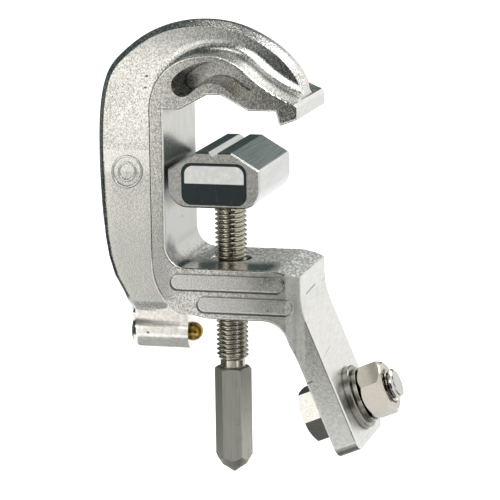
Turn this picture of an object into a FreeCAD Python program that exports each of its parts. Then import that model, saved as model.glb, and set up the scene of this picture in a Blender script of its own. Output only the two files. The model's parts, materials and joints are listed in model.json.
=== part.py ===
"""Line earthing clamp: a cast C frame with a screw-driven jaw and a bolted cable terminal.

X runs along the lower arm towards the terminal, Y from front to back and Z up along the
clamp screw. The origin is where the screw's axis meets the top face of the lower arm.
All lengths are in millimetres.
"""
import FreeCAD, Part
import math
import os

import Sketcher

os.makedirs("parts", exist_ok=True)
doc = FreeCAD.newDocument("earthing_clamp")
sheet = doc.addObject("Spreadsheet::Sheet", "dims")
V = FreeCAD.Vector
# A sketch numbers the spots of a curve, and its own origin is curve -1
SPOTS = ("edge", "start", "end", "centre")
START = SPOTS.index("start")
END = SPOTS.index("end")
CENTRE = SPOTS.index("centre")
ORIGIN = -START


class Size:
    """A number together with the sheet expression that yields it."""

    def __init__(self, value, text=None):
        self.value = float(value)
        self.text = text if text else repr(float(value))

    def _both(self, other, sign, result):
        return Size(result, f"({self.text} {sign} {other.text})")

    def __add__(self, other):
        other = as_size(other)
        return self._both(other, "+", self.value + other.value)

    def __sub__(self, other):
        other = as_size(other)
        return self._both(other, "-", self.value - other.value)

    def __mul__(self, other):
        other = as_size(other)
        return self._both(other, "*", self.value * other.value)

    def __truediv__(self, other):
        other = as_size(other)
        return self._both(other, "/", self.value / other.value)

    def __neg__(self):
        return Size(-self.value, f"(0 - {self.text})")

    def __radd__(self, other):
        return as_size(other) + self

    def __rsub__(self, other):
        return as_size(other) - self

    def __rmul__(self, other):
        return as_size(other) * self


def as_size(value):
    return value if isinstance(value, Size) else Size(value)


def sine(angle):
    return Size(math.sin(math.radians(angle.value)), f"sin({angle.text} * 1 deg)")


def cosine(angle):
    return Size(math.cos(math.radians(angle.value)), f"cos({angle.text} * 1 deg)")


def tangent(angle):
    return Size(math.tan(math.radians(angle.value)), f"tan({angle.text} * 1 deg)")


sheet_rows = []


def cell(alias, value):
    """Writes one driving size into the sheet and returns it."""
    row = len(sheet_rows) + 1
    sheet_rows.append(alias)
    sheet.set(f"A{row}", alias)
    sheet.set(f"B{row}", repr(value))
    sheet.setAlias(f"B{row}", alias)
    return Size(value, f"dims.{alias}")


# Cast frame
frame_depth = cell("frame_depth", 43.4)
web_depth = cell("web_depth", 8.6)
web_reach = cell("web_reach", 25.0)
web_crown = cell("web_crown", 10.8)
web_edge = cell("web_edge", 2.2)
web_blend = cell("web_blend", 4.2)
spine_face = cell("spine_face", 18.9)
flange = cell("flange", 5.5)
mouth_height = cell("mouth_height", 58.0)
roof_rise = cell("roof_rise", 5.5)
roof_flat = cell("roof_flat", 5.2)
roof_slope = cell("roof_slope", 28.4)
roof_brow = cell("roof_brow", 3.0)
roof_root = cell("roof_root", 1.5)
lip_inner = cell("lip_inner", 22.8)
tip_reach = cell("tip_reach", 31.0)
lip_drop = cell("lip_drop", 5.3)
lip_lean = cell("lip_lean", 1.5)
lip_slant = cell("lip_slant", 2.6)
hook_rise = cell("hook_rise", 19.5)
hook_bend = cell("hook_bend", 20.0)
fall_start = cell("fall_start", 1.5)
hook_swing = cell("hook_swing", 46.3)
nose_bend = cell("nose_bend", 51.0)
nose_settle = cell("nose_settle", 20.0)
arm_height = cell("arm_height", 18.7)
arm_reach = cell("arm_reach", 30.9)
arm_level = cell("arm_level", 22.5)
arm_fall = cell("arm_fall", 1.9)
arm_bow = cell("arm_bow", 12.0)
throat_radius = cell("throat_radius", 8.0)
heel_radius = cell("heel_radius", 23.3)
tab_angle = cell("tab_angle", 22.5)
tab_inset = cell("tab_inset", 1.9)
waist_run = cell("waist_run", 3.9)
tab_thick = cell("tab_thick", 9.3)
tab_bend = cell("tab_bend", 12.73)
tab_run = cell("tab_run", 41.37)
tab_sweep = cell("tab_sweep", 28.0)
tab_root = cell("tab_root", 9.6)
tab_end = cell("tab_end", 15.9)
tab_corner = cell("tab_corner", 4.0)
tab_hole = cell("tab_hole", 13.0)
cast_edge = cell("cast_edge", 0.8)
rib_rise = cell("rib_rise", 0.9)
rib_height = cell("rib_height", 5.4)
upper_rib = cell("upper_rib", 5.05)
lower_rib = cell("lower_rib", 13.1)
pocket_web = cell("pocket_web", 13.0)
pocket_draft = cell("pocket_draft", 1.0)
boss_diameter = cell("boss_diameter", 13.0)
boss_drop = cell("boss_drop", 28.4)
boss_left = cell("boss_left", 37.9)
boss_right = cell("boss_right", 15.5)
boss_round = cell("boss_round", 3.0)
neck_depth = cell("neck_depth", 11.0)

# Fits
running_gap = cell("running_gap", 0.08)
seat_gap = cell("seat_gap", 0.1)
thread_gap = cell("thread_gap", 0.05)

# Clamp screw
screw_thread = cell("screw_thread", 11.9)
screw_mouth = cell("screw_mouth", 15.4)
screw_neck = cell("screw_neck", 9.4)
journal_diameter = cell("journal_diameter", 9.0)
journal_length = cell("journal_length", 11.5)
thread_foot = cell("thread_foot", 38.0)
hex_top = cell("hex_top", 41.2)
hex_flats = cell("hex_flats", 12.0)
hex_length = cell("hex_length", 33.4)
hex_point = cell("hex_point", 7.0)
hex_turn = cell("hex_turn", 21.8)

# Moving jaw with its plate and pins
jaw_foot = cell("jaw_foot", 22.5)
jaw_height = cell("jaw_height", 20.4)
jaw_width = cell("jaw_width", 34.3)
jaw_depth = cell("jaw_depth", 45.0)
jaw_chamfer = cell("jaw_chamfer", 6.4)
jaw_round = cell("jaw_round", 7.0)
jaw_edge = cell("jaw_edge", 0.6)
ridge_outer = cell("ridge_outer", 6.6)
groove_half = cell("groove_half", 2.0)
groove_depth = cell("groove_depth", 1.8)
plate_width = cell("plate_width", 24.2)
plate_height = cell("plate_height", 15.2)
plate_rise = cell("plate_rise", 8.8)
plate_corner = cell("plate_corner", 3.6)
plate_thick = cell("plate_thick", 0.8)
plate_recess = cell("plate_recess", 1.0)
plate_gap = cell("plate_gap", 0.1)
pin_diameter = cell("pin_diameter", 3.0)
pin_spread = cell("pin_spread", 9.8)
pin_height = cell("pin_height", 7.2)
pin_beyond = cell("pin_beyond", 5.0)
pin_inset = cell("pin_inset", 0.4)

# Plunger and its spring
plunger_diameter = cell("plunger_diameter", 6.9)
plunger_collar = cell("plunger_collar", 8.0)
plunger_collar_length = cell("plunger_collar_length", 1.5)
plunger_lip = cell("plunger_lip", 1.0)
plunger_room = cell("plunger_room", 15.0)
plunger_out = cell("plunger_out", 4.1)
stem_diameter = cell("stem_diameter", 4.0)
stem_length = cell("stem_length", 5.0)
wire_diameter = cell("wire_diameter", 0.8)
spring_mean = cell("spring_mean", 6.2)
spring_turns = cell("spring_turns", 6.0)

# Terminal bolt, washers and nut
bolt_thread = cell("bolt_thread", 11.9)
bolt_end = cell("bolt_end", 17.2)
head_flats = cell("head_flats", 18.8)
head_height = cell("head_height", 10.0)
head_turn = cell("head_turn", 26.0)
washer_diameter = cell("washer_diameter", 24.0)
washer_thick = cell("washer_thick", 2.6)
split_diameter = cell("split_diameter", 20.5)
split_thick = cell("split_thick", 1.9)
split_slot = cell("split_slot", 1.6)
nut_flats = cell("nut_flats", 18.4)
nut_height = cell("nut_height", 9.5)
nut_turn = cell("nut_turn", -6.3)
nut_chamfer = cell("nut_chamfer", 2.1)


def at(size):
    return as_size(size).value


def new_body(label):
    body = doc.addObject("PartDesign::Body", label)
    body.Label = label
    doc.recompute()
    return body


def plane_of(body, role):
    return [f for f in body.Origin.OriginFeatures if f.Role == role][0]


def new_sketch(body, name, role, offset=None, turn=None):
    """An empty sketch on one of the body's own planes, moved along its normal."""
    sketch = body.newObject("Sketcher::SketchObject", name)
    sketch.AttachmentSupport = [(plane_of(body, role), "")]
    sketch.MapMode = "FlatFace"
    if offset is not None:
        offset = as_size(offset)
        sketch.AttachmentOffset = FreeCAD.Placement(V(0, 0, offset.value), FreeCAD.Rotation())
        sketch.setExpression("AttachmentOffset.Base.z", offset.text)
    return sketch


def bind(sketch, kind, args, size):
    """A sketch constraint whose value follows the sheet."""
    size = as_size(size)
    index = sketch.addConstraint(Sketcher.Constraint(kind, *args, size.value))
    sketch.setExpression(f"Constraints[{index}]", size.text)
    return index


def place_point(sketch, geometry, point, across, up):
    bind(sketch, "DistanceX", (ORIGIN, START, geometry, point), across)
    bind(sketch, "DistanceY", (ORIGIN, START, geometry, point), up)


def arc_between(first, last, bend):
    """The short arc from first to last; a positive bend turns to the left."""
    chord = last - first
    radius = abs(bend)
    left = V(-chord.y, chord.x, 0) / chord.Length
    rise = math.sqrt(radius ** 2 - (chord.Length / 2) ** 2)
    centre = (first + last) / 2 + left * (rise if bend > 0 else -rise)
    head, tail = (first, last) if bend > 0 else (last, first)
    begin = math.atan2(head.y - centre.y, head.x - centre.x)
    finish = math.atan2(tail.y - centre.y, tail.x - centre.x)
    circle = Part.Circle(centre, V(0, 0, 1), radius)
    return Part.ArcOfCircle(circle, begin, finish)


def corner(across, up, round=None, bend=None):
    """A corner of an outline: its round, and the bend of the side that leaves it."""
    return {"x": as_size(across), "y": as_size(up), "round": round, "bend": bend}


def outline(sketch, corners):
    """Draws a closed outline in which every corner is tied to the sheet."""
    count = len(corners)
    spots = [V(c["x"].value, c["y"].value, 0) for c in corners]
    trims = []
    for i, c in enumerate(corners):
        if c["round"] is None:
            trims.append((spots[i], spots[i]))
            continue
        back = (spots[i - 1] - spots[i]).normalize()
        ahead = (spots[(i + 1) % count] - spots[i]).normalize()
        half = math.acos(max(-1.0, min(1.0, back * ahead))) / 2
        reach = at(c["round"]) / math.tan(half)
        trims.append((spots[i] + back * reach, spots[i] + ahead * reach))
    sides = []
    for i, c in enumerate(corners):
        first, last = trims[i][1], trims[(i + 1) % count][0]
        if c["bend"] is None:
            geometry = sketch.addGeometry(Part.LineSegment(first, last), False)
            sides.append((geometry, START, END))
        else:
            bend = at(c["bend"])
            geometry = sketch.addGeometry(arc_between(first, last, bend), False)
            sides.append((geometry, START, END) if bend > 0 else (geometry, END, START))
    for i, c in enumerate(corners):
        before, after = sides[i - 1], sides[i]
        if c["round"] is None:
            meet = Sketcher.Constraint("Coincident", before[0], before[2], after[0], after[1])
            sketch.addConstraint(meet)
            place_point(sketch, after[0], after[1], c["x"], c["y"])
            continue
        turn = spots[i] - spots[i - 1]
        ahead = spots[(i + 1) % count] - spots[i]
        left = turn.x * ahead.y - turn.y * ahead.x > 0
        bend = at(c["round"]) if left else -at(c["round"])
        arc = sketch.addGeometry(arc_between(trims[i][0], trims[i][1], bend), False)
        near, far = (START, END) if left else (END, START)
        spot = sketch.addGeometry(Part.Point(spots[i]), True)
        place_point(sketch, spot, START, c["x"], c["y"])
        sketch.addConstraint(Sketcher.Constraint("PointOnObject", spot, START, before[0]))
        sketch.addConstraint(Sketcher.Constraint("PointOnObject", spot, START, after[0]))
        sketch.addConstraint(Sketcher.Constraint("Tangent", before[0], before[2], arc, near))
        sketch.addConstraint(Sketcher.Constraint("Tangent", arc, far, after[0], after[1]))
        bind(sketch, "Radius", (arc,), c["round"])
    for i, c in enumerate(corners):
        if c["bend"] is not None:
            bind(sketch, "Radius", (sides[i][0],), abs_size(c["bend"]))


def abs_size(size):
    size = as_size(size)
    return size if size.value > 0 else -size


def circle(sketch, across, up, diameter):
    ring = Part.Circle(V(at(across), at(up), 0), V(0, 0, 1), at(diameter) / 2)
    geometry = sketch.addGeometry(ring, False)
    place_point(sketch, geometry, CENTRE, across, up)
    bind(sketch, "Diameter", (geometry,), diameter)


def pad(body, name, sketch, length, both=False, back=False):
    feature = body.newObject("PartDesign::Pad", name)
    feature.Profile = sketch
    feature.setExpression("Length", as_size(length).text)
    feature.SideType = "Symmetric" if both else "One side"
    feature.Reversed = back
    doc.recompute()
    return feature


def cut(body, name, sketch, length=None, both=False, back=False):
    feature = body.newObject("PartDesign::Pocket", name)
    feature.Profile = sketch
    if length is None:
        feature.Type = 1
    else:
        feature.setExpression("Length", as_size(length).text)
    feature.SideType = "Symmetric" if both else "One side"
    feature.Reversed = back
    doc.recompute()
    return feature


def hexagon(sketch, flats, turn):
    """A regular hexagon about the sketch's origin; turn is a corner's angle from its second axis."""
    radius = flats / Size(math.sqrt(3))
    spots = [(radius * sine(turn + 60.0 * k), radius * cosine(turn + 60.0 * k)) for k in range(6)]
    outline(sketch, [corner(across, up) for across, up in spots])


def along_x(sketch, up):
    """A construction line parallel to the sketch's first axis, for turned features."""
    line = sketch.addGeometry(Part.LineSegment(V(0, at(up), 0), V(10, at(up), 0)), True)
    sketch.addConstraint(Sketcher.Constraint("Horizontal", line))
    place_point(sketch, line, START, Size(0), up)
    bind(sketch, "DistanceX", (line, START, line, END), Size(10))
    return (sketch, ["Axis0"])


def along_tab(sketch):
    """A construction line on the terminal's axis."""
    first, last = tab_point(Size(0), Size(0)), tab_point(Size(10), Size(0))
    here, there = V(at(first[0]), at(first[1]), 0), V(at(last[0]), at(last[1]), 0)
    line = sketch.addGeometry(Part.LineSegment(here, there), True)
    place_point(sketch, line, START, *first)
    place_point(sketch, line, END, *last)
    return (sketch, ["Axis0"])


def on_tab(corners):
    """Corners given as outward distance and radius about the terminal's axis."""
    return [corner(*tab_point(as_size(outward), as_size(radius))) for outward, radius in corners]


def tab_sketch(body, name, outward):
    """A sketch parallel to the tab's face, centred on the terminal's axis."""
    sketch = new_sketch(body, name, "YZ_Plane")
    across, up = tab_point(as_size(outward), Size(0))
    turn = FreeCAD.Rotation(V(-1, 0, 0), at(tab_angle))
    sketch.AttachmentOffset = FreeCAD.Placement(V(0, at(up), at(across)), turn)
    sketch.setExpression("AttachmentOffset.Base.y", up.text)
    sketch.setExpression("AttachmentOffset.Base.z", across.text)
    sketch.setExpression("AttachmentOffset.Rotation.Angle", tab_angle.text)
    return sketch


def turned(body, name, sketch, axis, kind="Revolution"):
    """A full turn of an outline about an axis: a solid, or a Groove that removes it."""
    feature = body.newObject(f"PartDesign::{kind}", name)
    feature.Profile = sketch
    feature.ReferenceAxis = axis
    feature.Angle = 360
    doc.recompute()
    return feature


def edges_where(feature, test):
    """Names of the edges whose middle passes a test."""
    names = []
    for number, edge in enumerate(feature.Shape.Edges, 1):
        middle = edge.valueAt((edge.FirstParameter + edge.LastParameter) / 2)
        if test(edge, middle):
            names.append(f"Edge{number}")
    return names


def dress(body, kind, name, feature, names, size):
    """A fillet or chamfer on the named edges."""
    result = body.newObject(f"PartDesign::{kind}", name)
    result.Base = (feature, names)
    result.setExpression("Radius" if kind == "Fillet" else "Size", as_size(size).text)
    doc.recompute()
    return result


# Frame: the deep C-shaped flange with the arm and the terminal tab, one closed outline
frame = new_body("frame_casting")
spine_back = -(spine_face + flange)
roof_height = mouth_height + roof_rise
hook_crown = mouth_height + hook_rise
slope_run = (roof_height - mouth_height) / tangent(roof_slope)
roof_edge = roof_flat / 2 + slope_run
tab_out_x = cosine(tab_angle)
tab_out_z = sine(tab_angle)
seat_x = arm_reach + tab_run * tab_out_z
seat_z = -tab_bend - tab_run * tab_out_x


def tab_point(outward, along):
    """A point in the tab's own directions, measured from the terminal seat."""
    across = seat_x + outward * tab_out_x - along * tab_out_z
    up = seat_z + outward * tab_out_z + along * tab_out_x
    return across, up


under_x = seat_x - tab_thick / tab_out_x + (seat_z + arm_height) * tangent(tab_angle)
outer_end = tab_point(Size(0), -tab_end)
inner_end = tab_point(-tab_thick, -tab_end)
sketch = new_sketch(frame, "flange_outline", "XZ_Plane")
fall_x = -fall_start
inflect_x = fall_x + hook_bend * cosine(hook_swing)
inflect_z = hook_crown - hook_bend + hook_bend * sine(hook_swing)
nose_centre_x = fall_x + (hook_bend + nose_bend) * cosine(hook_swing)
nose_centre_z = hook_crown - hook_bend + (hook_bend + nose_bend) * sine(hook_swing)
nose_x = nose_centre_x - nose_bend * sine(nose_settle)
nose_z = nose_centre_z - nose_bend * cosine(nose_settle)
outline(sketch, [
    corner(tip_reach, mouth_height - lip_drop + lip_slant),
    corner(lip_inner + lip_lean, mouth_height - lip_drop, round=1.0),
    corner(lip_inner, mouth_height),
    corner(roof_edge, mouth_height, round=roof_brow),
    corner(roof_flat / 2, roof_height, round=roof_root),
    corner(-roof_flat / 2, roof_height, round=roof_root),
    corner(-roof_edge, mouth_height, round=roof_brow),
    corner(-spine_face, mouth_height),
    corner(-spine_face, Size(0), round=throat_radius),
    corner(arm_level, Size(0), round=arm_bow),
    corner(arm_reach, -arm_fall),
    corner(arm_reach, -tab_bend, round=tab_sweep),
    corner(*outer_end),
    corner(*inner_end),
    corner(under_x, -arm_height, round=tab_root),
    corner(spine_back + heel_radius, -arm_height, bend=-heel_radius),
    corner(spine_back, -arm_height + heel_radius),
    corner(spine_back, hook_crown - hook_bend, bend=-hook_bend),
    corner(spine_back + hook_bend, hook_crown),
    corner(fall_x, hook_crown, bend=-hook_bend),
    corner(inflect_x, inflect_z, bend=nose_bend),
    corner(nose_x, nose_z),
    corner(tip_reach, nose_z - 1.2),
])
flange_pad = pad(frame, "flange_pad", sketch, frame_depth, both=True)

# The arm narrows from the full depth to the width of the tab
half_deep = frame_depth / 2
half_tab = half_deep - tab_inset
waist_step = tab_inset
waist_start = arm_reach - waist_run
waist_bend = (waist_run * waist_run + waist_step * waist_step) / (waist_step * 4)
tab_far = seat_x + tab_end
for side, name in ((-1, "front_waist"), (1, "rear_waist")):
    sketch = new_sketch(frame, f"{name}_outline", "XY_Plane", offset=Size(4.0))
    out = half_deep * side
    inn = half_tab * side
    outline(sketch, [
        corner(waist_start, out, bend=waist_bend * -side),
        corner(waist_start + waist_run / 2, (out + inn) / 2, bend=waist_bend * side),
        corner(arm_reach, inn),
        corner(tab_far, inn),
        corner(tab_far, out + 5.0 * side),
        corner(waist_start, out + 5.0 * side),
    ])
    waist = cut(frame, name, sketch, tab_end * 2 - seat_z)


def tab_corner_edge(edge, middle):
    """The two corners at the tab's free end."""
    along = edge.tangentAt((edge.FirstParameter + edge.LastParameter) / 2)
    straight = abs(along.x * at(tab_out_x) + along.z * at(tab_out_z)) > 0.999
    at_side = abs(abs(middle.y) - at(half_tab)) < 0.05
    return straight and at_side and beyond_seat(middle) > at(tab_end) - 0.1


def beyond_seat(middle):
    """How far a point lies past the terminal's axis, towards the tab's free end."""
    return (middle.x - at(seat_x)) * at(tab_out_z) - (middle.z - at(seat_z)) * at(tab_out_x)


tab_rounds = dress(frame, "Fillet", "tab_corners", waist, edges_where(waist, tab_corner_edge), tab_corner)


def on_cast_side(edge, middle):
    """Edges round the two large faces, which the foundry leaves slightly round."""
    along = edge.tangentAt((edge.FirstParameter + edge.LastParameter) / 2)
    if beyond_seat(middle) > at(tab_end) - at(tab_corner):
        return abs(along.x * at(tab_out_x) + along.z * at(tab_out_z)) < 0.1
    if abs(middle.y) < at(half_tab) - 0.05 or abs(along.y) > 0.9:
        return False
    upright = abs(along.z) > 0.999 and edge.Length > at(arm_height) / 2
    return not (upright and at(waist_start) - 1 < middle.x < at(arm_reach) + 0.1)


cast = dress(frame, "Fillet", "cast_edges", tab_rounds, edges_where(tab_rounds, on_cast_side), cast_edge)

# Web: a plate on the mid-plane that stiffens the back and crown of the C
crown = hook_crown + web_crown
back = spine_back - web_reach
rim = [
    (back + 11.9, Size(-20.5)), (back + 11.3, Size(-15.6)), (back + 8.6, Size(-10.2)),
    (back + 5.1, Size(-4.6)), (back + 2.9, Size(1.7)), (back + 1.5, Size(9.0)),
    (back + 0.5, Size(20.0)), (back, Size(36.0)), (back + 0.3, crown - 38.3),
    (back + 2.0, crown - 25.5), (back + 5.0, crown - 17.8), (back + 11.1, crown - 11.2),
    (back + 19.1, crown - 5.4), (back + 28.0, crown - 1.7), (back + 40.3, crown),
    (Size(3.0), crown - 1.4), (Size(14.8), crown - 6.5), (Size(24.6), crown - 14.3),
    (tip_reach - 1.6, crown - 21.6),
]
neck_foot = -boss_drop


def curved_outline(sketch, run, inside):
    """A closed outline: a free curve through the run, and straight sides from its end to its start."""
    spline = Part.BSplineCurve()
    spline.interpolate([V(at(x), at(z), 0) for x, z in run])
    curve = sketch.addGeometry(spline, False)
    sketch.addConstraint(Sketcher.Constraint("Block", curve))
    spots = [run[-1]] + inside + [run[0]]
    previous = curve
    for first, last in zip(spots, spots[1:]):
        here = V(at(first[0]), at(first[1]), 0)
        there = V(at(last[0]), at(last[1]), 0)
        line = sketch.addGeometry(Part.LineSegment(here, there), False)
        sketch.addConstraint(Sketcher.Constraint("Coincident", previous, END, line, START))
        if previous != curve:
            place_point(sketch, line, START, *first)
        previous = line
    sketch.addConstraint(Sketcher.Constraint("Coincident", previous, END, curve, START))


sketch = new_sketch(frame, "web_outline", "XZ_Plane")
curved_outline(sketch, rim, [
    (tip_reach - 1.6, hook_crown - 18.5), (Size(15.0), hook_crown - 16.0), (Size(0.0), roof_height + 2.0),
    (-roof_edge, roof_height + 1.0), (-(spine_face + 1.5), mouth_height), (-(spine_face + 1.5), Size(8.0)),
    (-boss_right, Size(-6.0)), (-boss_right, neck_foot), (-boss_left + 1.5, neck_foot),
])
web = pad(frame, "web_pad", sketch, web_depth, both=True)


def meets_flange(edge, middle):
    """Edges where the faces of the web run into the outside of the flange."""
    if abs(abs(middle.y) - at(web_depth) / 2) > 0.01:
        return False
    x, z = middle.x, middle.z
    bend = at(hook_bend)
    heel = at(heel_radius)
    left = at(spine_back)
    low = at(heel_radius) - at(arm_height)
    high = at(hook_crown) - bend
    if low <= z <= high:
        return abs(x - left) < 0.1
    if z < low:
        return abs(math.hypot(x - left - heel, z - low) - heel) < 0.1
    if x <= left + bend:
        return abs(math.hypot(x - left - bend, z - high) - bend) < 0.1
    if x <= at(fall_x):
        return abs(z - at(hook_crown)) < 0.1
    if x <= at(inflect_x):
        return abs(math.hypot(x - at(fall_x), z - high) - bend) < 0.1
    return abs(math.hypot(x - at(nose_centre_x), z - at(nose_centre_z)) - at(nose_bend)) < 0.1


def web_rim(edge, middle):
    """The two outer edges of the web along its long curved back."""
    return abs(abs(middle.y) - at(web_depth) / 2) < 0.01 and edge.Length > at(crown)


blended = dress(frame, "Fillet", "web_blends", web, edges_where(web, meets_flange), web_blend)
rimmed = dress(frame, "Chamfer", "web_rims", blended, edges_where(blended, web_rim), web_edge)

# Neck and boss under the heel: the boss carries the spring plunger
sketch = new_sketch(frame, "boss_profile", "XZ_Plane")
outline(sketch, [
    corner(-boss_left, neck_foot),
    corner(-boss_left, neck_foot - boss_diameter / 2, round=boss_round),
    corner(-boss_right, neck_foot - boss_diameter / 2),
    corner(-boss_right, neck_foot),
])
boss = turned(frame, "boss_turn", sketch, along_x(sketch, neck_foot))
sketch = new_sketch(frame, "neck_outline", "XZ_Plane")
outline(sketch, [
    corner(-boss_left + 2.0, neck_foot),
    corner(-boss_right, neck_foot),
    corner(-boss_right, -arm_height + 3.0),
    corner(-boss_left + 2.0, -arm_height + 1.0),
])
neck = pad(frame, "neck_pad", sketch, neck_depth, both=True)

# Gussets fill the corner between web and heel, so that the step runs out below
for side, name in ((1, "front_gusset"), (-1, "rear_gusset")):
    low = new_sketch(frame, f"{name}_root", "XZ_Plane", offset=(web_depth / 2 - 0.3) * side)
    curved_outline(low, [
        (spine_back + 0.4, Size(14.0)), (back + 19.5, Size(9.0)), (back + 15.0, Size(2.0)),
        (back + 12.5, Size(-6.0)), (back + 11.7, Size(-12.5)), (back + 12.0, -arm_height - 1.2),
    ], [
        (-boss_right, -arm_height - 2.4), (-boss_right + 6.0, -arm_height + 2.0),
        (-boss_right, Size(-5.0)),
    ])
    high = new_sketch(frame, f"{name}_top", "XZ_Plane", offset=half_deep * side)
    curved_outline(high, [
        (spine_back + 0.5, Size(3.0)), (spine_back + 0.9, Size(-0.5)), (spine_back + 1.8, Size(-4.5)),
        (spine_back + 3.5, Size(-9.0)), (spine_back + 6.2, -arm_height + 5.2),
        (spine_back + 10.0, -arm_height + 1.5),
    ], [
        (spine_back + 16.0, -arm_height + 1.4), (spine_back + 12.0, -arm_height + 5.0),
        (spine_back + 10.0, Size(-6.0)),
    ])
    gusset = frame.newObject("PartDesign::AdditiveLoft", name)
    gusset.Profile = low
    gusset.Sections = [high]
    gusset.Ruled = True
    gusset.Refine = False
    doc.recompute()

# Two round-ended ribs stand proud on each side of the arm
for side, name in ((1, "front_ribs"), (-1, "rear_ribs")):
    for row, (left, right, middle) in enumerate((
            (-spine_face + 2.1, arm_reach - 5.6, -upper_rib),
            (-spine_face + 12.0, arm_reach - 2.5, -lower_rib))):
        sketch = new_sketch(frame, f"{name}_{row}_outline", "XZ_Plane", offset=(half_deep - 0.5) * side)
        half = rib_height / 2
        outline(sketch, [
            corner(left, middle - half, round=half * 0.9),
            corner(right, middle - half, round=half * 0.9),
            corner(right, middle + half, round=half * 0.9),
            corner(left, middle + half, round=half * 0.9),
        ])
        rib = pad(frame, f"{name}_{row}", sketch, rib_rise + 0.5, back=side < 0)
        rib.Refine = False
        doc.recompute()

# Kidney-shaped hollows in both sides of the hook leave a thin wall in the middle
kidney_mid = -0.8
right_side = [
    (6.4, 10.8), (11.7, 7.9), (14.6, 4.5), (14.3, 1.4),
    (12.3, -0.6), (9.6, -0.7), (6.8, 1.2), (3.6, 3.4),
]
left_side = [(-x, z) for x, z in reversed(right_side)]
shape = [(0.0, 12.1)] + right_side + [(0.0, 4.2)] + left_side


def kidney(shrink):
    """Points round the hollow, moved inwards by a distance."""
    spots = []
    for i, (x, z) in enumerate(shape):
        before, after = shape[i - 1], shape[(i + 1) % len(shape)]
        run = V(after[0] - before[0], after[1] - before[1], 0).normalize()
        inward = V(run.y, -run.x, 0)
        up = at(roof_height) + z + inward.y * shrink
        spots.append(V(x + kidney_mid + inward.x * shrink, up, 0))
    return spots


for side, name in ((1, "front_hollow"), (-1, "rear_hollow")):
    levels = []
    for level, depth, shrink in (
            ("mouth", half_deep + 1.0, -0.06), ("floor", pocket_web / 2, at(pocket_draft))):
        sketch = new_sketch(frame, f"{name}_{level}", "XZ_Plane", offset=depth * side)
        loop = Part.BSplineCurve()
        loop.interpolate(Points=kidney(shrink), PeriodicFlag=True)
        curve = sketch.addGeometry(loop, False)
        sketch.addConstraint(Sketcher.Constraint("Block", curve))
        levels.append(sketch)
    hollow = frame.newObject("PartDesign::SubtractiveLoft", name)
    hollow.Profile = levels[0]
    hollow.Sections = [levels[1]]
    doc.recompute()

# Bores of the frame: the clamp screw's, the terminal bolt's and the plunger's
sketch = new_sketch(frame, "screw_bore_outline", "XY_Plane", offset=Size(1.0))
circle(sketch, Size(0), Size(0), screw_thread + running_gap * 2)
screw_bore = cut(frame, "screw_bore", sketch, arm_height + 3.0)
sketch = new_sketch(frame, "screw_mouth_outline", "XZ_Plane")
outline(sketch, [
    corner(Size(0), Size(1.0)),
    corner(screw_mouth / 2 + 1.0, Size(1.0)),
    corner(Size(0), -screw_mouth / 2),
])
turned(frame, "screw_mouth", sketch, (sketch, ["V_Axis"]), "Groove")
sketch = new_sketch(frame, "terminal_bore_outline", "XZ_Plane")
outline(sketch, on_tab([
    (2.0, 0), (2.0, tab_hole / 2),
    (-tab_thick - 2.0, tab_hole / 2), (-tab_thick - 2.0, 0),
]))
turned(frame, "terminal_bore", sketch, along_tab(sketch), "Groove")
sketch = new_sketch(frame, "plunger_bore_outline", "XZ_Plane")
lip_x = -boss_right - plunger_lip
shaft_bore = plunger_diameter / 2 + running_gap
collar_bore = plunger_collar / 2 + running_gap
outline(sketch, [
    corner(-boss_right + 1.0, neck_foot),
    corner(-boss_right + 1.0, neck_foot - shaft_bore),
    corner(lip_x, neck_foot - shaft_bore),
    corner(lip_x, neck_foot - collar_bore),
    corner(lip_x - plunger_room, neck_foot - collar_bore),
    corner(lip_x - plunger_room, neck_foot),
])
turned(frame, "plunger_bore", sketch, along_x(sketch, neck_foot), "Groove")

# Clamp screw: journal and retaining groove at the top, thread, neck, and a pointed hexagon
screw = new_body("clamp_screw")
shoulder = jaw_foot - seat_gap
groove_mid = shoulder + pin_height
sketch = new_sketch(screw, "screw_profile", "XZ_Plane")
groove_radius = pin_spread / 2 - pin_diameter / 2 - running_gap
outline(sketch, [
    corner(Size(0), shoulder + journal_length),
    corner(journal_diameter / 2 - 0.6, shoulder + journal_length),
    corner(journal_diameter / 2, shoulder + journal_length - 0.6),
    corner(journal_diameter / 2, groove_mid + pin_diameter / 2 + running_gap),
    corner(groove_radius, groove_mid + pin_diameter / 2 + running_gap),
    corner(groove_radius, groove_mid - pin_diameter / 2 - running_gap),
    corner(journal_diameter / 2, groove_mid - pin_diameter / 2 - running_gap),
    corner(journal_diameter / 2, shoulder),
    corner(screw_thread / 2 - 1.0, shoulder),
    corner(screw_thread / 2, shoulder - 1.0),
    corner(screw_thread / 2, -thread_foot + 0.8),
    corner(screw_thread / 2 - 0.8, -thread_foot),
    corner(screw_neck / 2, -thread_foot),
    corner(screw_neck / 2, -hex_top),
    corner(Size(0), -hex_top),
])
turned(screw, "screw_turn", sketch, (sketch, ["V_Axis"]))
sketch = new_sketch(screw, "hex_outline", "XY_Plane", offset=-hex_top)
hexagon(sketch, hex_flats, hex_turn)
pad(screw, "hex_pad", sketch, hex_length + hex_point, back=True)
sketch = new_sketch(screw, "hex_point_outline", "XZ_Plane")
hex_foot = -hex_top - hex_length
hex_corner = hex_flats / Size(math.sqrt(3))
outline(sketch, [
    corner(hex_corner + 0.02, hex_foot + 0.03),
    corner(hex_corner * 0.69, hex_foot - hex_point * 0.53),
    corner(Size(0.3), hex_foot - hex_point + 0.1),
    corner(Size(0), hex_foot - hex_point),
    corner(Size(0), hex_foot - hex_point - 2.0),
    corner(hex_corner + 2.0, hex_foot - hex_point - 2.0),
    corner(hex_corner + 2.0, hex_foot + 0.03),
])
turned(screw, "hex_point", sketch, (sketch, ["V_Axis"]), "Groove")
sketch = new_sketch(screw, "hex_crown_outline", "XZ_Plane")
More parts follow.
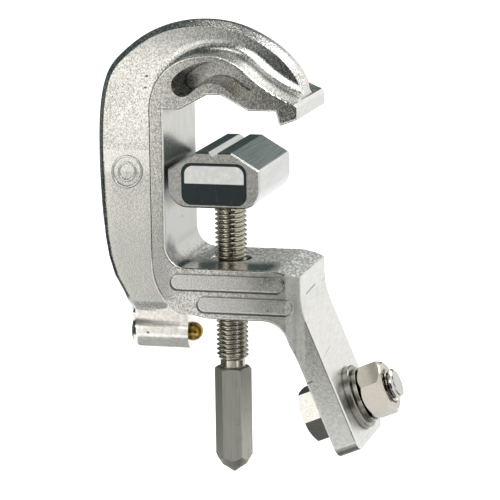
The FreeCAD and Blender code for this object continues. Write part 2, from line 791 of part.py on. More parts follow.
outline(sketch, [
    corner(hex_flats / 2, -hex_top),
    corner(hex_flats / 2 + 2.0, -hex_top),
    corner(hex_flats / 2 + 2.0, -hex_top - 1.2),
])
turned(screw, "hex_crown", sketch, (sketch, ["V_Axis"]), "Groove")

# Moving jaw: two ridges with a groove between them, a blind bore below and a recess in front
jaw = new_body("moving_jaw")
jaw_top = jaw_foot + jaw_height
half_jaw = jaw_width / 2
sketch = new_sketch(jaw, "jaw_profile", "XZ_Plane")
outline(sketch, [
    corner(-ridge_outer, jaw_top),
    corner(-groove_half, jaw_top),
    corner(Size(0), jaw_top - groove_depth),
    corner(groove_half, jaw_top),
    corner(ridge_outer, jaw_top),
    corner(half_jaw, jaw_top - jaw_chamfer, round=1.5),
    corner(half_jaw, jaw_foot, round=jaw_round),
    corner(-half_jaw, jaw_foot, round=jaw_round),
    corner(-half_jaw, jaw_top - jaw_chamfer, round=1.5),
])
block = pad(jaw, "jaw_pad", sketch, jaw_depth, both=True)


def jaw_face_edge(edge, middle):
    """The outline of the jaw's front and rear faces, without the edges in the groove."""
    return abs(abs(middle.y) - at(jaw_depth) / 2) < 0.01 and not (abs(middle.x) < at(groove_half))


def plate_outline(half_wide, half_tall, round):
    """The rounded rectangle of the plate or of its recess."""
    signs = ((-1, -1), (1, -1), (1, 1), (-1, 1))
    return [corner(half_wide * x, plate_mid + half_tall * z, round=round) for x, z in signs]


broken = dress(jaw, "Chamfer", "jaw_edges", block, edges_where(block, jaw_face_edge), jaw_edge)
front_y = jaw_depth / 2
sketch = new_sketch(jaw, "plate_recess_outline", "XZ_Plane", offset=front_y + 1.0)
plate_mid = jaw_foot + plate_rise
half_plate = plate_width / 2 + plate_gap
half_tall = plate_height / 2 + plate_gap
outline(sketch, plate_outline(half_plate, half_tall, plate_corner + plate_gap))
cut(jaw, "plate_recess", sketch, plate_recess + 1.0)
sketch = new_sketch(jaw, "journal_bore_outline", "XY_Plane", offset=jaw_foot - 1.0)
circle(sketch, Size(0), Size(0), journal_diameter + running_gap * 2)
cut(jaw, "journal_bore", sketch, journal_length + seat_gap + 1.5, back=True)
for side, name in ((-1, "left_pin_hole"), (1, "right_pin_hole")):
    sketch = new_sketch(jaw, f"{name}_outline", "XZ_Plane", offset=-front_y - 1.0)
    circle(sketch, pin_spread / 2 * side, groove_mid, pin_diameter)
    cut(jaw, name, sketch, front_y + pin_beyond + 1.0, back=True)

# The plate lies on the floor of the recess
plate = new_body("nameplate")
sketch = new_sketch(plate, "plate_outline", "XZ_Plane", offset=front_y - plate_recess)
outline(sketch, plate_outline(plate_width / 2, plate_height / 2, plate_corner))
pad(plate, "plate_pad", sketch, plate_thick)

# Two pins cross the groove of the journal and hold the screw in the jaw
for side, name in ((-1, "jaw_pin_left"), (1, "jaw_pin_right")):
    pin = new_body(name)
    sketch = new_sketch(pin, f"{name}_outline", "XZ_Plane", offset=pin_beyond)
    circle(sketch, pin_spread / 2 * side, groove_mid, pin_diameter)
    pad(pin, f"{name}_pad", sketch, front_y + pin_beyond - pin_inset, back=True)

# Plunger: a domed brass pin with a collar that stops behind the lip, pushed out by a spring
plunger = new_body("plunger")
sketch = new_sketch(plunger, "plunger_profile", "XZ_Plane")
tip_x = -boss_right + plunger_out
collar_x = lip_x - 0.1
stem_x = collar_x - plunger_collar_length
plunger_half = plunger_diameter / 2
outline(sketch, [
    corner(tip_x, neck_foot, bend=-plunger_half),
    corner(tip_x - plunger_half, neck_foot - plunger_half),
    corner(collar_x, neck_foot - plunger_half),
    corner(collar_x, neck_foot - plunger_collar / 2),
    corner(stem_x, neck_foot - plunger_collar / 2),
    corner(stem_x, neck_foot - stem_diameter / 2),
    corner(stem_x - stem_length, neck_foot - stem_diameter / 2),
    corner(stem_x - stem_length, neck_foot),
])
turned(plunger, "plunger_turn", sketch, along_x(sketch, neck_foot))

spring = new_body("plunger_spring")
sketch = new_sketch(spring, "wire_outline", "XZ_Plane")
axis = along_x(sketch, neck_foot)
end_x = lip_x - plunger_room
wire_first = end_x + wire_diameter / 2
circle(sketch, wire_first, neck_foot - spring_mean / 2, wire_diameter)
coil = spring.newObject("PartDesign::AdditiveHelix", "spring_coil")
coil.Profile = sketch
coil.ReferenceAxis = axis
coil.Mode = "height-turns-growth"
spring_run = stem_x - end_x - wire_diameter
coil.setExpression("Height", spring_run.text)
coil.setExpression("Turns", spring_turns.text)
coil.Growth = 0
doc.recompute()

# Terminal: bolt from behind, flat washer, split washer and nut on the tab's outer face
bolt = new_body("terminal_bolt")
sketch = new_sketch(bolt, "bolt_profile", "XZ_Plane")
bolt_radius = bolt_thread / 2
outline(sketch, on_tab([
    (-tab_thick, 0), (-tab_thick, bolt_radius), (bolt_end - 1.3, bolt_radius),
    (bolt_end, bolt_radius - 1.3), (bolt_end, 0),
]))
turned(bolt, "bolt_shank", sketch, along_tab(sketch))
sketch = tab_sketch(bolt, "bolt_head_outline", -tab_thick - head_height)
hexagon(sketch, head_flats, head_turn)
pad(bolt, "bolt_head", sketch, head_height)
sketch = new_sketch(bolt, "bolt_head_crown_outline", "XZ_Plane")
head_end = -tab_thick - head_height
outline(sketch, on_tab([
    (head_end, head_flats / 2 * 0.96), (head_end - 1.0, head_flats / 2 + 2.0),
    (head_end + 1.2, head_flats / 2 + 2.0),
]))
turned(bolt, "bolt_head_crown", sketch, along_tab(sketch), "Groove")

washer = new_body("flat_washer")
sketch = new_sketch(washer, "washer_profile", "XZ_Plane")
outline(sketch, on_tab([
    (0, tab_hole / 2), (washer_thick, tab_hole / 2),
    (washer_thick, washer_diameter / 2 - 0.3), (washer_thick - 0.3, washer_diameter / 2),
    (0, washer_diameter / 2),
]))
turned(washer, "washer_turn", sketch, along_tab(sketch))

split = new_body("spring_washer")
sketch = new_sketch(split, "split_profile", "XZ_Plane")
nut_seat = washer_thick + split_thick
outline(sketch, on_tab([
    (washer_thick, bolt_radius + 0.2), (nut_seat, bolt_radius + 0.2),
    (nut_seat, split_diameter / 2), (washer_thick, split_diameter / 2),
]))
turned(split, "split_turn", sketch, along_tab(sketch))
sketch = tab_sketch(split, "split_slot_outline", nut_seat + 1.0)
half_slot = split_slot / 2
slot = [(bolt_radius - 1.0, -half_slot), (split_diameter / 2 + 1.0, -half_slot),
        (split_diameter / 2 + 1.0, half_slot), (bolt_radius - 1.0, half_slot)]
outline(sketch, [corner(x, z) for x, z in slot])
cut(split, "split_slot", sketch, split_thick + 2.0)

nut = new_body("terminal_nut")
sketch = tab_sketch(nut, "nut_outline", nut_seat)
hexagon(sketch, nut_flats, nut_turn)
pad(nut, "nut_pad", sketch, nut_height)
nut_end = nut_seat + nut_height
sketch = new_sketch(nut, "nut_bore_outline", "XZ_Plane")
nut_bore = bolt_radius + thread_gap
outline(sketch, on_tab([
    (nut_seat - 1.0, 0), (nut_seat - 1.0, nut_bore), (nut_end - 0.8, nut_bore),
    (nut_end + 1.0, nut_bore + 1.8), (nut_end + 1.0, 0),
]))
turned(nut, "nut_bore", sketch, along_tab(sketch), "Groove")
for face, way, name in ((nut_end, 1, "nut_crown"), (nut_seat, -1, "nut_root")):
    sketch = new_sketch(nut, f"{name}_outline", "XZ_Plane")
    outline(sketch, on_tab([
        (face, nut_flats / 2 * 0.95), (face + 1.0 * way, nut_flats / 2 + 2.0),
        (face - nut_chamfer * way, nut_flats / 2 + 2.0),
    ]))
    turned(nut, name, sketch, along_tab(sketch), "Groove")

doc.recompute()
bodies = [obj for obj in doc.Objects if obj.TypeId == "PartDesign::Body"]
faults = []
for obj in doc.Objects:
    if "Invalid" in obj.State or "Error" in obj.State:
        faults.append(f"{obj.Label}: {obj.State}")
for body in bodies:
    if body.Shape.isNull() or not body.Shape.isValid() or len(body.Shape.Solids) != 1:
        faults.append(f"{body.Label}: shape")
if faults:
    raise RuntimeError("; ".join(faults))
for body in bodies:
    body.Shape.exportStep(f"parts/{body.Label}.step")
    print(body.Label, round(body.Shape.Volume, 1), body.Shape.BoundBox)
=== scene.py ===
"""Studio scene for the grounding clamp: finishes, threads, cast marks, light and camera.

Everything is in metres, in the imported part's own frame: X along the lower arm towards the
cable tab, Y from front to back and Z up along the clamp screw.
"""

import json
import math
from types import SimpleNamespace

import bmesh
import bpy
from mathutils import Matrix, Vector


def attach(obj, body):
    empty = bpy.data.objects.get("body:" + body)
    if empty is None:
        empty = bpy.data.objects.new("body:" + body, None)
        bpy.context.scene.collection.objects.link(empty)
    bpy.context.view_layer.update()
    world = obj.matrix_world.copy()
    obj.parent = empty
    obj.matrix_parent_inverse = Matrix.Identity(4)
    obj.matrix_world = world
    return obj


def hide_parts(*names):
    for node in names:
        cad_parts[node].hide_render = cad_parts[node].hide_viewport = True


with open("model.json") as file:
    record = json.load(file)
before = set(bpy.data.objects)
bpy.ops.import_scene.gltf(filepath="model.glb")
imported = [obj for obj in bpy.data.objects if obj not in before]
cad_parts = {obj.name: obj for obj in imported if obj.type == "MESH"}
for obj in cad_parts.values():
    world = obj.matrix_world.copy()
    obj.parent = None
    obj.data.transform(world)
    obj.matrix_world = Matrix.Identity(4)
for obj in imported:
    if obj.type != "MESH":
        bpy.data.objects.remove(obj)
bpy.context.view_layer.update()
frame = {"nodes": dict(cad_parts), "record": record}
MM = 0.001
X_AXIS, Y_AXIS, Z_AXIS = (1.0, 0.0, 0.0), (0.0, 1.0, 0.0), (0.0, 0.0, 1.0)

# Camera: where the photograph was taken from
CAMERA_AZIMUTH = 14.807
CAMERA_ELEVATION = 11.230
CAMERA_ROLL = 0.8358
CAMERA_DISTANCE = 0.99491
CAMERA_TARGET = Vector((7.158, 0.0, 3.191)) * MM
FOCAL_PIXELS = 2700.0
PHOTO_WIDTH = 500.0
SENSOR_WIDTH = 36.0

# The cable tab, the bolt's seat on it, and how far the web's and the flange's sides stand from the middle
TAB_ANGLE = math.radians(22.5)
TAB_OUT = Vector((math.cos(TAB_ANGLE), 0.0, math.sin(TAB_ANGLE)))
TAB_ALONG = Vector((-math.sin(TAB_ANGLE), 0.0, math.cos(TAB_ANGLE)))
SEAT = Vector((46.73, 0.0, -50.95)) * MM
WEB_FACE = 4.3
FLANGE_FACE = 21.7

# The nameplate's print
PLATE_HALF_WIDE = 12.1 * MM
PLATE_HALF_TALL = 7.6 * MM
PLATE_CORNER = 3.1 * MM
PLATE_BORDER = 1.1 * MM
PLATE_MIDDLE = 31.3 * MM
PLATE_SPLIT = 31.4 * MM
PRINT_EDGE = 0.06 * MM

# Ribs on the arm: left end, right end and middle height, and half their height, in millimetres
RIBS = {"upper": (-16.8, 25.3, -5.05), "lower": (-6.9, 28.4, -13.1)}
RIB_HALF = 2.7

# Edges between the front or rear and the faces to the right, and on the tab's left
RIGHT_EDGES = ((0.707, -0.707, 0.0), (0.707, 0.707, 0.0))
LEFT_EDGES = ((-0.66, -0.70, -0.27), (-0.66, 0.70, -0.27))
EDGE_FACING = (0.82, 0.93)

# How the casting's sides lean: the web thins outwards, and the flange bows towards the hook's tip
WEB_DRAFT = 0.165
FLANGE_BOW = 1.2
FLARE_LEAN = 0.20
WAIST_RUN, WAIST_RADIUS = 1.95, 2.476

# Scratches: start, end, width and strength. Pores and stains: place, and the stains' reach. Millimetres.
SCRATCHES = (
    ((30.9, -11.8, -10.0), (30.9, 2.7, -9.3), 0.45, 1.0),
    ((30.9, 13.0, -10.3), (30.9, 19.2, -10.0), 0.4, 0.6),
    ((38.2, -4.6, -30.3), (38.9, -16.5, -31.9), 0.3, 0.4),
    ((32.8, -19.8, -41.7), (34.9, -19.8, -40.5), 0.4, 1.0),
)
PORES = (
    (-29.8, -4.3, 67.5), (-30.5, -4.3, 63.3), (-43.2, -4.3, 17.3), (-18.9, 1.2, 14.9), (-30.8, -6.3, -28.1))
RIB_STAINS = (((22.0, -FLANGE_FACE, -5.0), 13.0), ((24.5, -FLANGE_FACE, -13.1), 14.0))

# M12 coarse thread
THREAD_PITCH = 1.75 * MM
THREAD_CREST = 5.95 * MM
THREAD_ROOT = 4.92 * MM
THREAD_SEGMENTS = 72
BOLT_PHASE = 0.4
SLACK = 0.02 * MM
CREST_HALF, ROOT_HALF = 0.07, 0.115
THREAD_PHASES = (-CREST_HALF, CREST_HALF, 0.22, 0.5 - ROOT_HALF, 0.5 + ROOT_HALF, 0.78)


def make_camera():
    """A long lens at the photograph's angle, with its slight roll."""
    azimuth, elevation = math.radians(CAMERA_AZIMUTH), math.radians(CAMERA_ELEVATION)
    away = Vector((
        math.sin(azimuth) * math.cos(elevation),
        -math.cos(azimuth) * math.cos(elevation),
        math.sin(elevation),
    ))
    right = Vector((math.cos(azimuth), math.sin(azimuth), 0.0))
    up = away.cross(right)
    roll = math.radians(CAMERA_ROLL)
    rolled_right = right * math.cos(roll) - up * math.sin(roll)
    rolled_up = right * math.sin(roll) + up * math.cos(roll)
    data = bpy.data.cameras.new("camera")
    data.sensor_width = SENSOR_WIDTH
    data.lens = FOCAL_PIXELS * SENSOR_WIDTH / PHOTO_WIDTH
    data.clip_start = 0.01
    camera = bpy.data.objects.new("camera", data)
    bpy.context.scene.collection.objects.link(camera)
    turn = Matrix((rolled_right, rolled_up, away)).transposed().to_4x4()
    camera.matrix_world = Matrix.Translation(CAMERA_TARGET + away * CAMERA_DISTANCE) @ turn
    bpy.context.scene.camera = camera


class Shader:
    """A node material on one Principled shader, with short calls for the nodes it needs."""

    def __init__(self, name, colour, roughness, metallic=1.0):
        self.material = bpy.data.materials.new(name)
        self.material.use_nodes = True
        self.nodes = self.material.node_tree.nodes
        self.links = self.material.node_tree.links
        self.surface = self.nodes["Principled BSDF"]
        self.surface.inputs["Base Color"].default_value = (*colour, 1.0)
        self.surface.inputs["Roughness"].default_value = roughness
        self.surface.inputs["Metallic"].default_value = metallic
        self.place = self.nodes.new("ShaderNodeTexCoord").outputs["Object"]

    def set(self, socket, source):
        if isinstance(source, bpy.types.NodeSocket):
            self.links.new(source, socket)
        else:
            socket.default_value = source

    def vector_math(self, kind, first, second=(0.0, 0.0, 0.0)):
        node = self.nodes.new("ShaderNodeVectorMath")
        node.operation = kind
        self.set(node.inputs[0], first)
        self.set(node.inputs[1], second)
        return node

    def axes(self, *directions):
        """Coordinates along scaled directions, which draw a pattern out along the short ones."""
        node = self.nodes.new("ShaderNodeCombineXYZ")
        for socket, direction in zip(node.inputs, directions):
            self.links.new(self.along(direction), socket)
        return node.outputs["Vector"]

    def crease(self, reach, inside=False):
        """How open a spot is within a reach; from the inside, how far it is from an edge."""
        node = self.nodes.new("ShaderNodeAmbientOcclusion")
        node.samples = 12
        node.inside = inside
        node.inputs["Distance"].default_value = reach
        return node.outputs["AO"]

    def scratch(self, start, end, width):
        """One on a line between two spots, falling to nothing at its width."""
        start, end = Vector(start), Vector(end)
        run = end - start
        offset = self.vector_math("SUBTRACT", self.place, start).outputs["Vector"]
        share = self.vector_math("DOT_PRODUCT", offset, run / run.length_squared).outputs["Value"]
        nearest = self.nodes.new("ShaderNodeVectorMath")
        nearest.operation = "SCALE"
        nearest.inputs[0].default_value = run
        self.links.new(self.math("ADD", share, 0.0, clamp=True), nearest.inputs["Scale"])
        gap = self.vector_math("DISTANCE", offset, nearest.outputs["Vector"]).outputs["Value"]
        return self.ramp(gap, width * 0.35, width, 1.0, 0.0)

    def noise(self, scale, detail=2.0, rough=0.5, vector=None):
        node = self.nodes.new("ShaderNodeTexNoise")
        node.inputs["Scale"].default_value = scale
        node.inputs["Detail"].default_value = detail
        node.inputs["Roughness"].default_value = rough
        self.links.new(vector or self.place, node.inputs["Vector"])
        return node.outputs["Fac"]

    def math(self, kind, first, second=0.0, third=0.0, clamp=False):
        node = self.nodes.new("ShaderNodeMath")
        node.operation = kind
        node.use_clamp = clamp
        self.set(node.inputs[0], first)
        self.set(node.inputs[1], second)
        self.set(node.inputs[2], third)
        return node.outputs["Value"]

    def times(self, first, *others):
        for other in others:
            first = self.math("MULTIPLY", first, other)
        return first

    def most(self, first, *others):
        for other in others:
            first = self.math("MAXIMUM", first, other)
        return first

    def ramp(self, source, low, high, out_low=0.0, out_high=1.0):
        """A smooth step from one value to another."""
        node = self.nodes.new("ShaderNodeMapRange")
        node.interpolation_type = "SMOOTHSTEP"
        self.set(node.inputs["Value"], source)
        node.inputs["From Min"].default_value = low
        node.inputs["From Max"].default_value = high
        node.inputs["To Min"].default_value = out_low
        node.inputs["To Max"].default_value = out_high
        return node.outputs["Result"]

    def ramp_mm(self, source, low, high, out_low=0.0, out_high=1.0):
        return self.ramp(source, low * MM, high * MM, out_low, out_high)

    def mix(self, factor, first, second):
        node = self.nodes.new("ShaderNodeMix")
        node.data_type = "RGBA"
        self.set(node.inputs["Factor"], factor)
        for socket, value in ((node.inputs[6], first), (node.inputs[7], second)):
            self.set(socket, value if isinstance(value, bpy.types.NodeSocket) else (*value, 1.0))
        return node.outputs[2]

    def shade(self, source, low, high, dark, light):
        """A colour that follows a pattern."""
        return self.mix(self.ramp(source, low, high), dark, light)

    def outline(self, middle, half_wide, half_tall, corner):
        """How far a point lies outside a rounded rectangle in the XZ plane, up to its corner radius inside."""
        sides = []
        for axis, centre, half in ((X_AXIS, middle[0], half_wide), (Z_AXIS, middle[1], half_tall)):
            away = self.math("ABSOLUTE", self.math("SUBTRACT", self.along(axis), centre))
            sides.append(self.math("MAXIMUM", self.math("SUBTRACT", away, half - corner), 0.0))
        across, up = sides
        gap = self.math("SQRT", self.math("MULTIPLY_ADD", across, across, self.times(up, up)))
        return self.math("SUBTRACT", gap, corner)

    def along(self, direction):
        """How far a point lies in a direction, in the object's own coordinates."""
        return self.vector_math("DOT_PRODUCT", self.place, direction).outputs["Value"]

    def facing(self, direction):
        """How squarely the surface faces a direction, in the object's own coordinates."""
        normal = self.nodes.new("ShaderNodeTexCoord").outputs["Normal"]
        return self.vector_math("DOT_PRODUCT", normal, direction).outputs["Value"]

    def near(self, spot, reach):
        """One at a spot, falling to nothing at its reach."""
        gap = self.vector_math("DISTANCE", self.place, spot).outputs["Value"]
        return self.ramp(gap, reach * 0.4, reach, 1.0, 0.0)

    def colour(self, source):
        self.links.new(source, self.surface.inputs["Base Color"])

    def roughness(self, source):
        self.links.new(source, self.surface.inputs["Roughness"])

    def bump(self, height, distance, strength=1.0):
        """Adds a relief, sunk where the distance is negative; several calls stack."""
        node = self.nodes.new("ShaderNodeBump")
        node.invert = distance < 0.0
        node.inputs["Distance"].default_value = abs(distance)
        self.set(node.inputs["Strength"], strength)
        self.links.new(height, node.inputs["Height"])
        normal = self.surface.inputs["Normal"]
        if normal.is_linked:
            self.links.new(normal.links[0].from_socket, node.inputs["Normal"])
        self.links.new(node.outputs["Normal"], normal)


def spot(x, y, z):
    """A place on the clamp, given in millimetres."""
    return Vector((x, y, z)) * MM


def casting_grain(finish):
    """The noises that the casting's skin is made of."""
    clots = finish.noise(1500.0, 2.0, 0.7)
    across_tab = TAB_ALONG * 4200.0 + Vector((0.0, -420.0, 0.0))
    along_top = ((1300.0, 0.0, 0.0), (0.0, 330.0, 0.0), (0.0, 0.0, 1300.0))
    return SimpleNamespace(
        skin=finish.math("MULTIPLY_ADD", finish.noise(2600.0, 2.0, 0.6), 0.4, finish.times(clots, 0.6)),
        patches=finish.noise(120.0, 3.0, 0.6),
        fine=finish.noise(700.0, 4.0, 0.65),
        strokes=finish.noise(1.0, 2.0, 0.6, finish.axes(across_tab, (0.0, 130.0, 0.0))),
        drawn=finish.noise(1.0, 2.0, 0.6, finish.axes((0.0, 1400.0, 0.0), (0.0, 0.0, 90.0))),
        coarse=finish.noise(1.0, 2.0, 0.6, finish.axes(*along_top)),
    )


def casting_zones(finish, grain):
    """Where each finish of the casting lies, as masks from nought to one."""
    x, y, z = (finish.along(axis) for axis in (X_AXIS, Y_AXIS, Z_AXIS))
    depth = finish.math("ABSOLUTE", y)
    broad = finish.math("ABSOLUTE", finish.facing(Y_AXIS))
    side = finish.ramp(broad, 0.80, 0.95)
    arm = finish.times(
        finish.ramp(broad, 0.35, 0.50), finish.ramp_mm(z, 4.0, 1.0), finish.ramp_mm(x, -8.0, 24.0))
    tab = finish.times(finish.ramp(finish.facing(TAB_OUT), 0.86, 0.93), finish.ramp_mm(x, 28.5, 30.5))
    spine = finish.times(finish.ramp(finish.facing(X_AXIS), 0.93, 0.98), finish.ramp_mm(x, -15.0, -18.5))
    boss = finish.times(finish.ramp_mm(z, -19.0, -21.2), finish.ramp_mm(x, -12.0, -14.5))
    top = finish.times(
        finish.ramp(finish.facing(Z_AXIS), 0.86, 0.93), finish.ramp_mm(z, 8.0, 3.0),
        finish.ramp_mm(x, -19.0, -17.0))

    # The front half of the arm's top is rubbed smooth up to a wandering line
    wander = finish.math("MULTIPLY_ADD", grain.patches, 16.0 * MM, y)
    rubbed = finish.times(top, finish.ramp_mm(wander, 8.0, -6.0), finish.ramp_mm(x, 25.0, 17.0))
    rough_top = finish.times(finish.math("SUBTRACT", top, rubbed), finish.ramp_mm(z, -9.0, -6.0))

    # Rounded edges of the spine and the tab, apart from the waist's slope; they take a painted highlight
    right_edges = finish.ramp(finish.most(*(finish.facing(way) for way in RIGHT_EDGES)), *EDGE_FACING)
    left_edges = finish.ramp(finish.most(*(finish.facing(way) for way in LEFT_EDGES)), *EDGE_FACING)
    beyond_waist = finish.most(finish.ramp_mm(x, 30.8, 31.8), finish.ramp_mm(x, 0.0, -4.0))
    rounded = finish.most(
        finish.times(right_edges, beyond_waist), finish.times(left_edges, finish.ramp_mm(x, 18.0, 22.0)))
    return SimpleNamespace(
        x=x, z=z, depth=depth, broad=broad, side=side, arm=arm, tab=tab, spine=spine, boss=boss,
        rough_top=rough_top, rounded=rounded, ribs=finish.ramp_mm(depth, 21.8, 22.1),
        smooth=finish.most(finish.times(arm, 0.8), rubbed, boss, tab, spine),
    )


def casting_tone(finish, grain, zone):
    """The metal's colour zone by zone, before dirt and painted corner shade; with painted shade on the web and
    painted highlights on the edges.
    """
    x, z = zone.x, zone.z
    tone = finish.shade(grain.skin, 0.38, 0.62, (0.42, 0.425, 0.41), (0.92, 0.90, 0.86))
    tone = finish.mix(finish.ramp(grain.patches, 0.48, 0.78, 0.0, 0.35), tone, (0.46, 0.465, 0.45))
    calm = finish.shade(grain.fine, 0.34, 0.66, (0.45, 0.455, 0.44), (0.59, 0.59, 0.57))
    tone = finish.mix(finish.times(zone.arm, 0.85), tone, calm)
    tab_foot = finish.times(zone.arm, finish.ramp_mm(z, -25.0, -55.0, 0.0, 0.15))
    tone = finish.mix(tab_foot, tone, (0.84, 0.84, 0.82))
    bright = finish.shade(grain.fine, 0.35, 0.65, (0.75, 0.74, 0.71), (0.92, 0.90, 0.86))
    tone = finish.mix(zone.boss, tone, bright)
    milled = finish.shade(grain.drawn, 0.36, 0.64, (0.53, 0.52, 0.50), (0.63, 0.62, 0.59))
    tone = finish.mix(zone.spine, tone, milled)
    brushed = finish.shade(grain.strokes, 0.36, 0.62, (0.64, 0.64, 0.63), (0.78, 0.78, 0.77))
    tone = finish.mix(zone.tab, tone, brushed)

    # Painted shade: the web is painted darker over the crown and towards the hook's tip, and greyer down to the
    # heel
    tip = finish.times(finish.ramp_mm(x, -2.0, 22.0, 0.0, 0.65), finish.ramp_mm(z, 45.0, 55.0))
    crown = finish.most(tip, finish.ramp_mm(z, 70.0, 86.0, 0.0, 0.55))
    crown = finish.times(crown, zone.side, finish.ramp_mm(zone.depth, 6.2, 5.0))
    tone = finish.mix(crown, tone, (0.22, 0.235, 0.23))
    heel = finish.times(
        finish.ramp_mm(z, 60.0, 0.0, 0.0, 0.85), finish.ramp_mm(x, -12.0, -20.0),
        finish.ramp_mm(z, -16.0, -12.0))
    tone = finish.mix(heel, tone, (0.40, 0.405, 0.39))

    speckle = finish.shade(grain.coarse, 0.40, 0.62, (0.36, 0.37, 0.36), (0.95, 0.95, 0.93))
    tone = finish.mix(finish.times(zone.rough_top, 0.8), tone, speckle)
    # Painted highlight on the rounded edges
    tone = finish.mix(finish.times(zone.rounded, 0.6), tone, (0.96, 0.96, 0.94))
    tone = finish.mix(finish.times(zone.ribs, 0.55), tone, (0.34, 0.345, 0.33))
    # Edges lightened as wear and as a painted highlight
    worn_and_highlit = finish.ramp(finish.crease(0.6 * MM, inside=True), 0.50, 0.85, 0.45, 0.0)
    return finish.mix(worn_and_highlit, tone, (0.88, 0.88, 0.86))


def casting_marks(finish):
    """Handling scratches on the tab, and pores."""
    scratches = [
        finish.times(finish.scratch(spot(*start), spot(*end), width * MM), strength)
        for start, end, width, strength in SCRATCHES]
    return finish.most(*scratches, *(finish.near(spot(*pore), 0.6 * MM) for pore in PORES))


def casting_dirt_and_shade(finish, grain, zone, marks):
    """Darkening: painted shade in the corners, under the ribs, in the hole, at the neck and on the spine;
    stains at the ribs' ends, the scratches and pores, and a dark blotchy patch in the throat.
    """
    x, z = zone.x, zone.z
    mottle = finish.times(
        finish.ramp(finish.noise(2400.0, 1.0, 0.5), 0.30, 0.72), finish.ramp(grain.patches, 0.25, 0.70))
    rib_ends = finish.most(*(finish.near(spot(*place), reach * MM) for place, reach in RIB_STAINS))
    layers = [
        finish.times(rib_ends, mottle, finish.math("MULTIPLY_ADD", zone.ribs, 0.75, 0.15)),
        finish.times(marks, 0.75),
    ]

    # Painted shadow under each rib, thick at the lower left
    for left, right, middle in RIBS.values():
        centre, half = (left + right) / 2, (right - left) / 2
        rib = finish.outline((centre * MM, middle * MM), half * MM, RIB_HALF * MM, RIB_HALF * MM)
        under = finish.outline(
            ((centre - 0.60) * MM, (middle - 0.65) * MM), half * MM, RIB_HALF * MM, RIB_HALF * MM)
        layers.append(finish.times(
            finish.ramp_mm(under, 0.35, 0.0, 0.0, 0.9), finish.ramp_mm(rib, -0.15, 0.05),
            finish.ramp_mm(zone.depth, 20.0, 21.0)))

    # A dark blotchy patch in the throat's corner
    throat_blotches = finish.ramp(finish.noise(260.0, 3.0, 0.6), 0.38, 0.60, 0.55, 0.9)
    layers.append(finish.times(
        finish.near(spot(-16.6, -17.0, 3.2), 10.0 * MM), throat_blotches, finish.ramp(zone.broad, 0.5, 0.3)))
    # Painted shade down in the countersunk hole
    countersink = finish.near(spot(0.0, 0.0, -1.0), 19.5 * MM)
    layers.append(finish.times(countersink, finish.ramp_mm(z, -0.1, -0.4, 0.0, 0.95)))
    # Painted shade along the crease where the neck meets the boss
    neck_shade = finish.scratch(spot(-39.5, -5.8, -24.3), spot(-20.0, -5.8, -25.3), 2.0 * MM)
    layers.append(finish.times(neck_shade, finish.ramp_mm(x, -39.0, -17.0, 0.9, 0.35)))

    # Painted shade in the corners, but not on the rounded edges, the waist or the blend into the boss
    clean = finish.most(zone.rounded, finish.times(zone.arm, finish.ramp_mm(x, 25.0, 27.0)))
    clear_of_boss = finish.most(finish.ramp_mm(z, -16.0, -13.0), finish.ramp_mm(x, -16.0, -14.0))
    corners = finish.ramp(finish.crease(1.2 * MM), 0.50, 0.88, 0.80, 0.0)
    layers.append(finish.times(corners, finish.math("SUBTRACT", 1.0, clean), clear_of_boss))
    # Painted shade on the spine's face beside the jaw
    layers.append(finish.times(finish.ramp(finish.crease(9.0 * MM), 0.35, 0.80, 0.85, 0.0), zone.spine))
    return finish.most(*layers)


def casting_gloss(finish, grain, zone):
    """Duller where it is rough, at the edges, and over the waist."""
    dull = finish.ramp(grain.skin, 0.3, 0.7, 0.18, 0.30)
    waist = finish.times(
        finish.ramp_mm(zone.x, 25.2, 27.0), finish.ramp_mm(zone.x, 33.0, 31.4), zone.arm)
    for mask, more in (
            (zone.rough_top, 0.30), (zone.rounded, 0.42), (zone.tab, 0.16), (waist, 0.30),
            (zone.smooth, -0.04)):
        dull = finish.math("MULTIPLY_ADD", mask, more, dull)
    finish.roughness(dull)


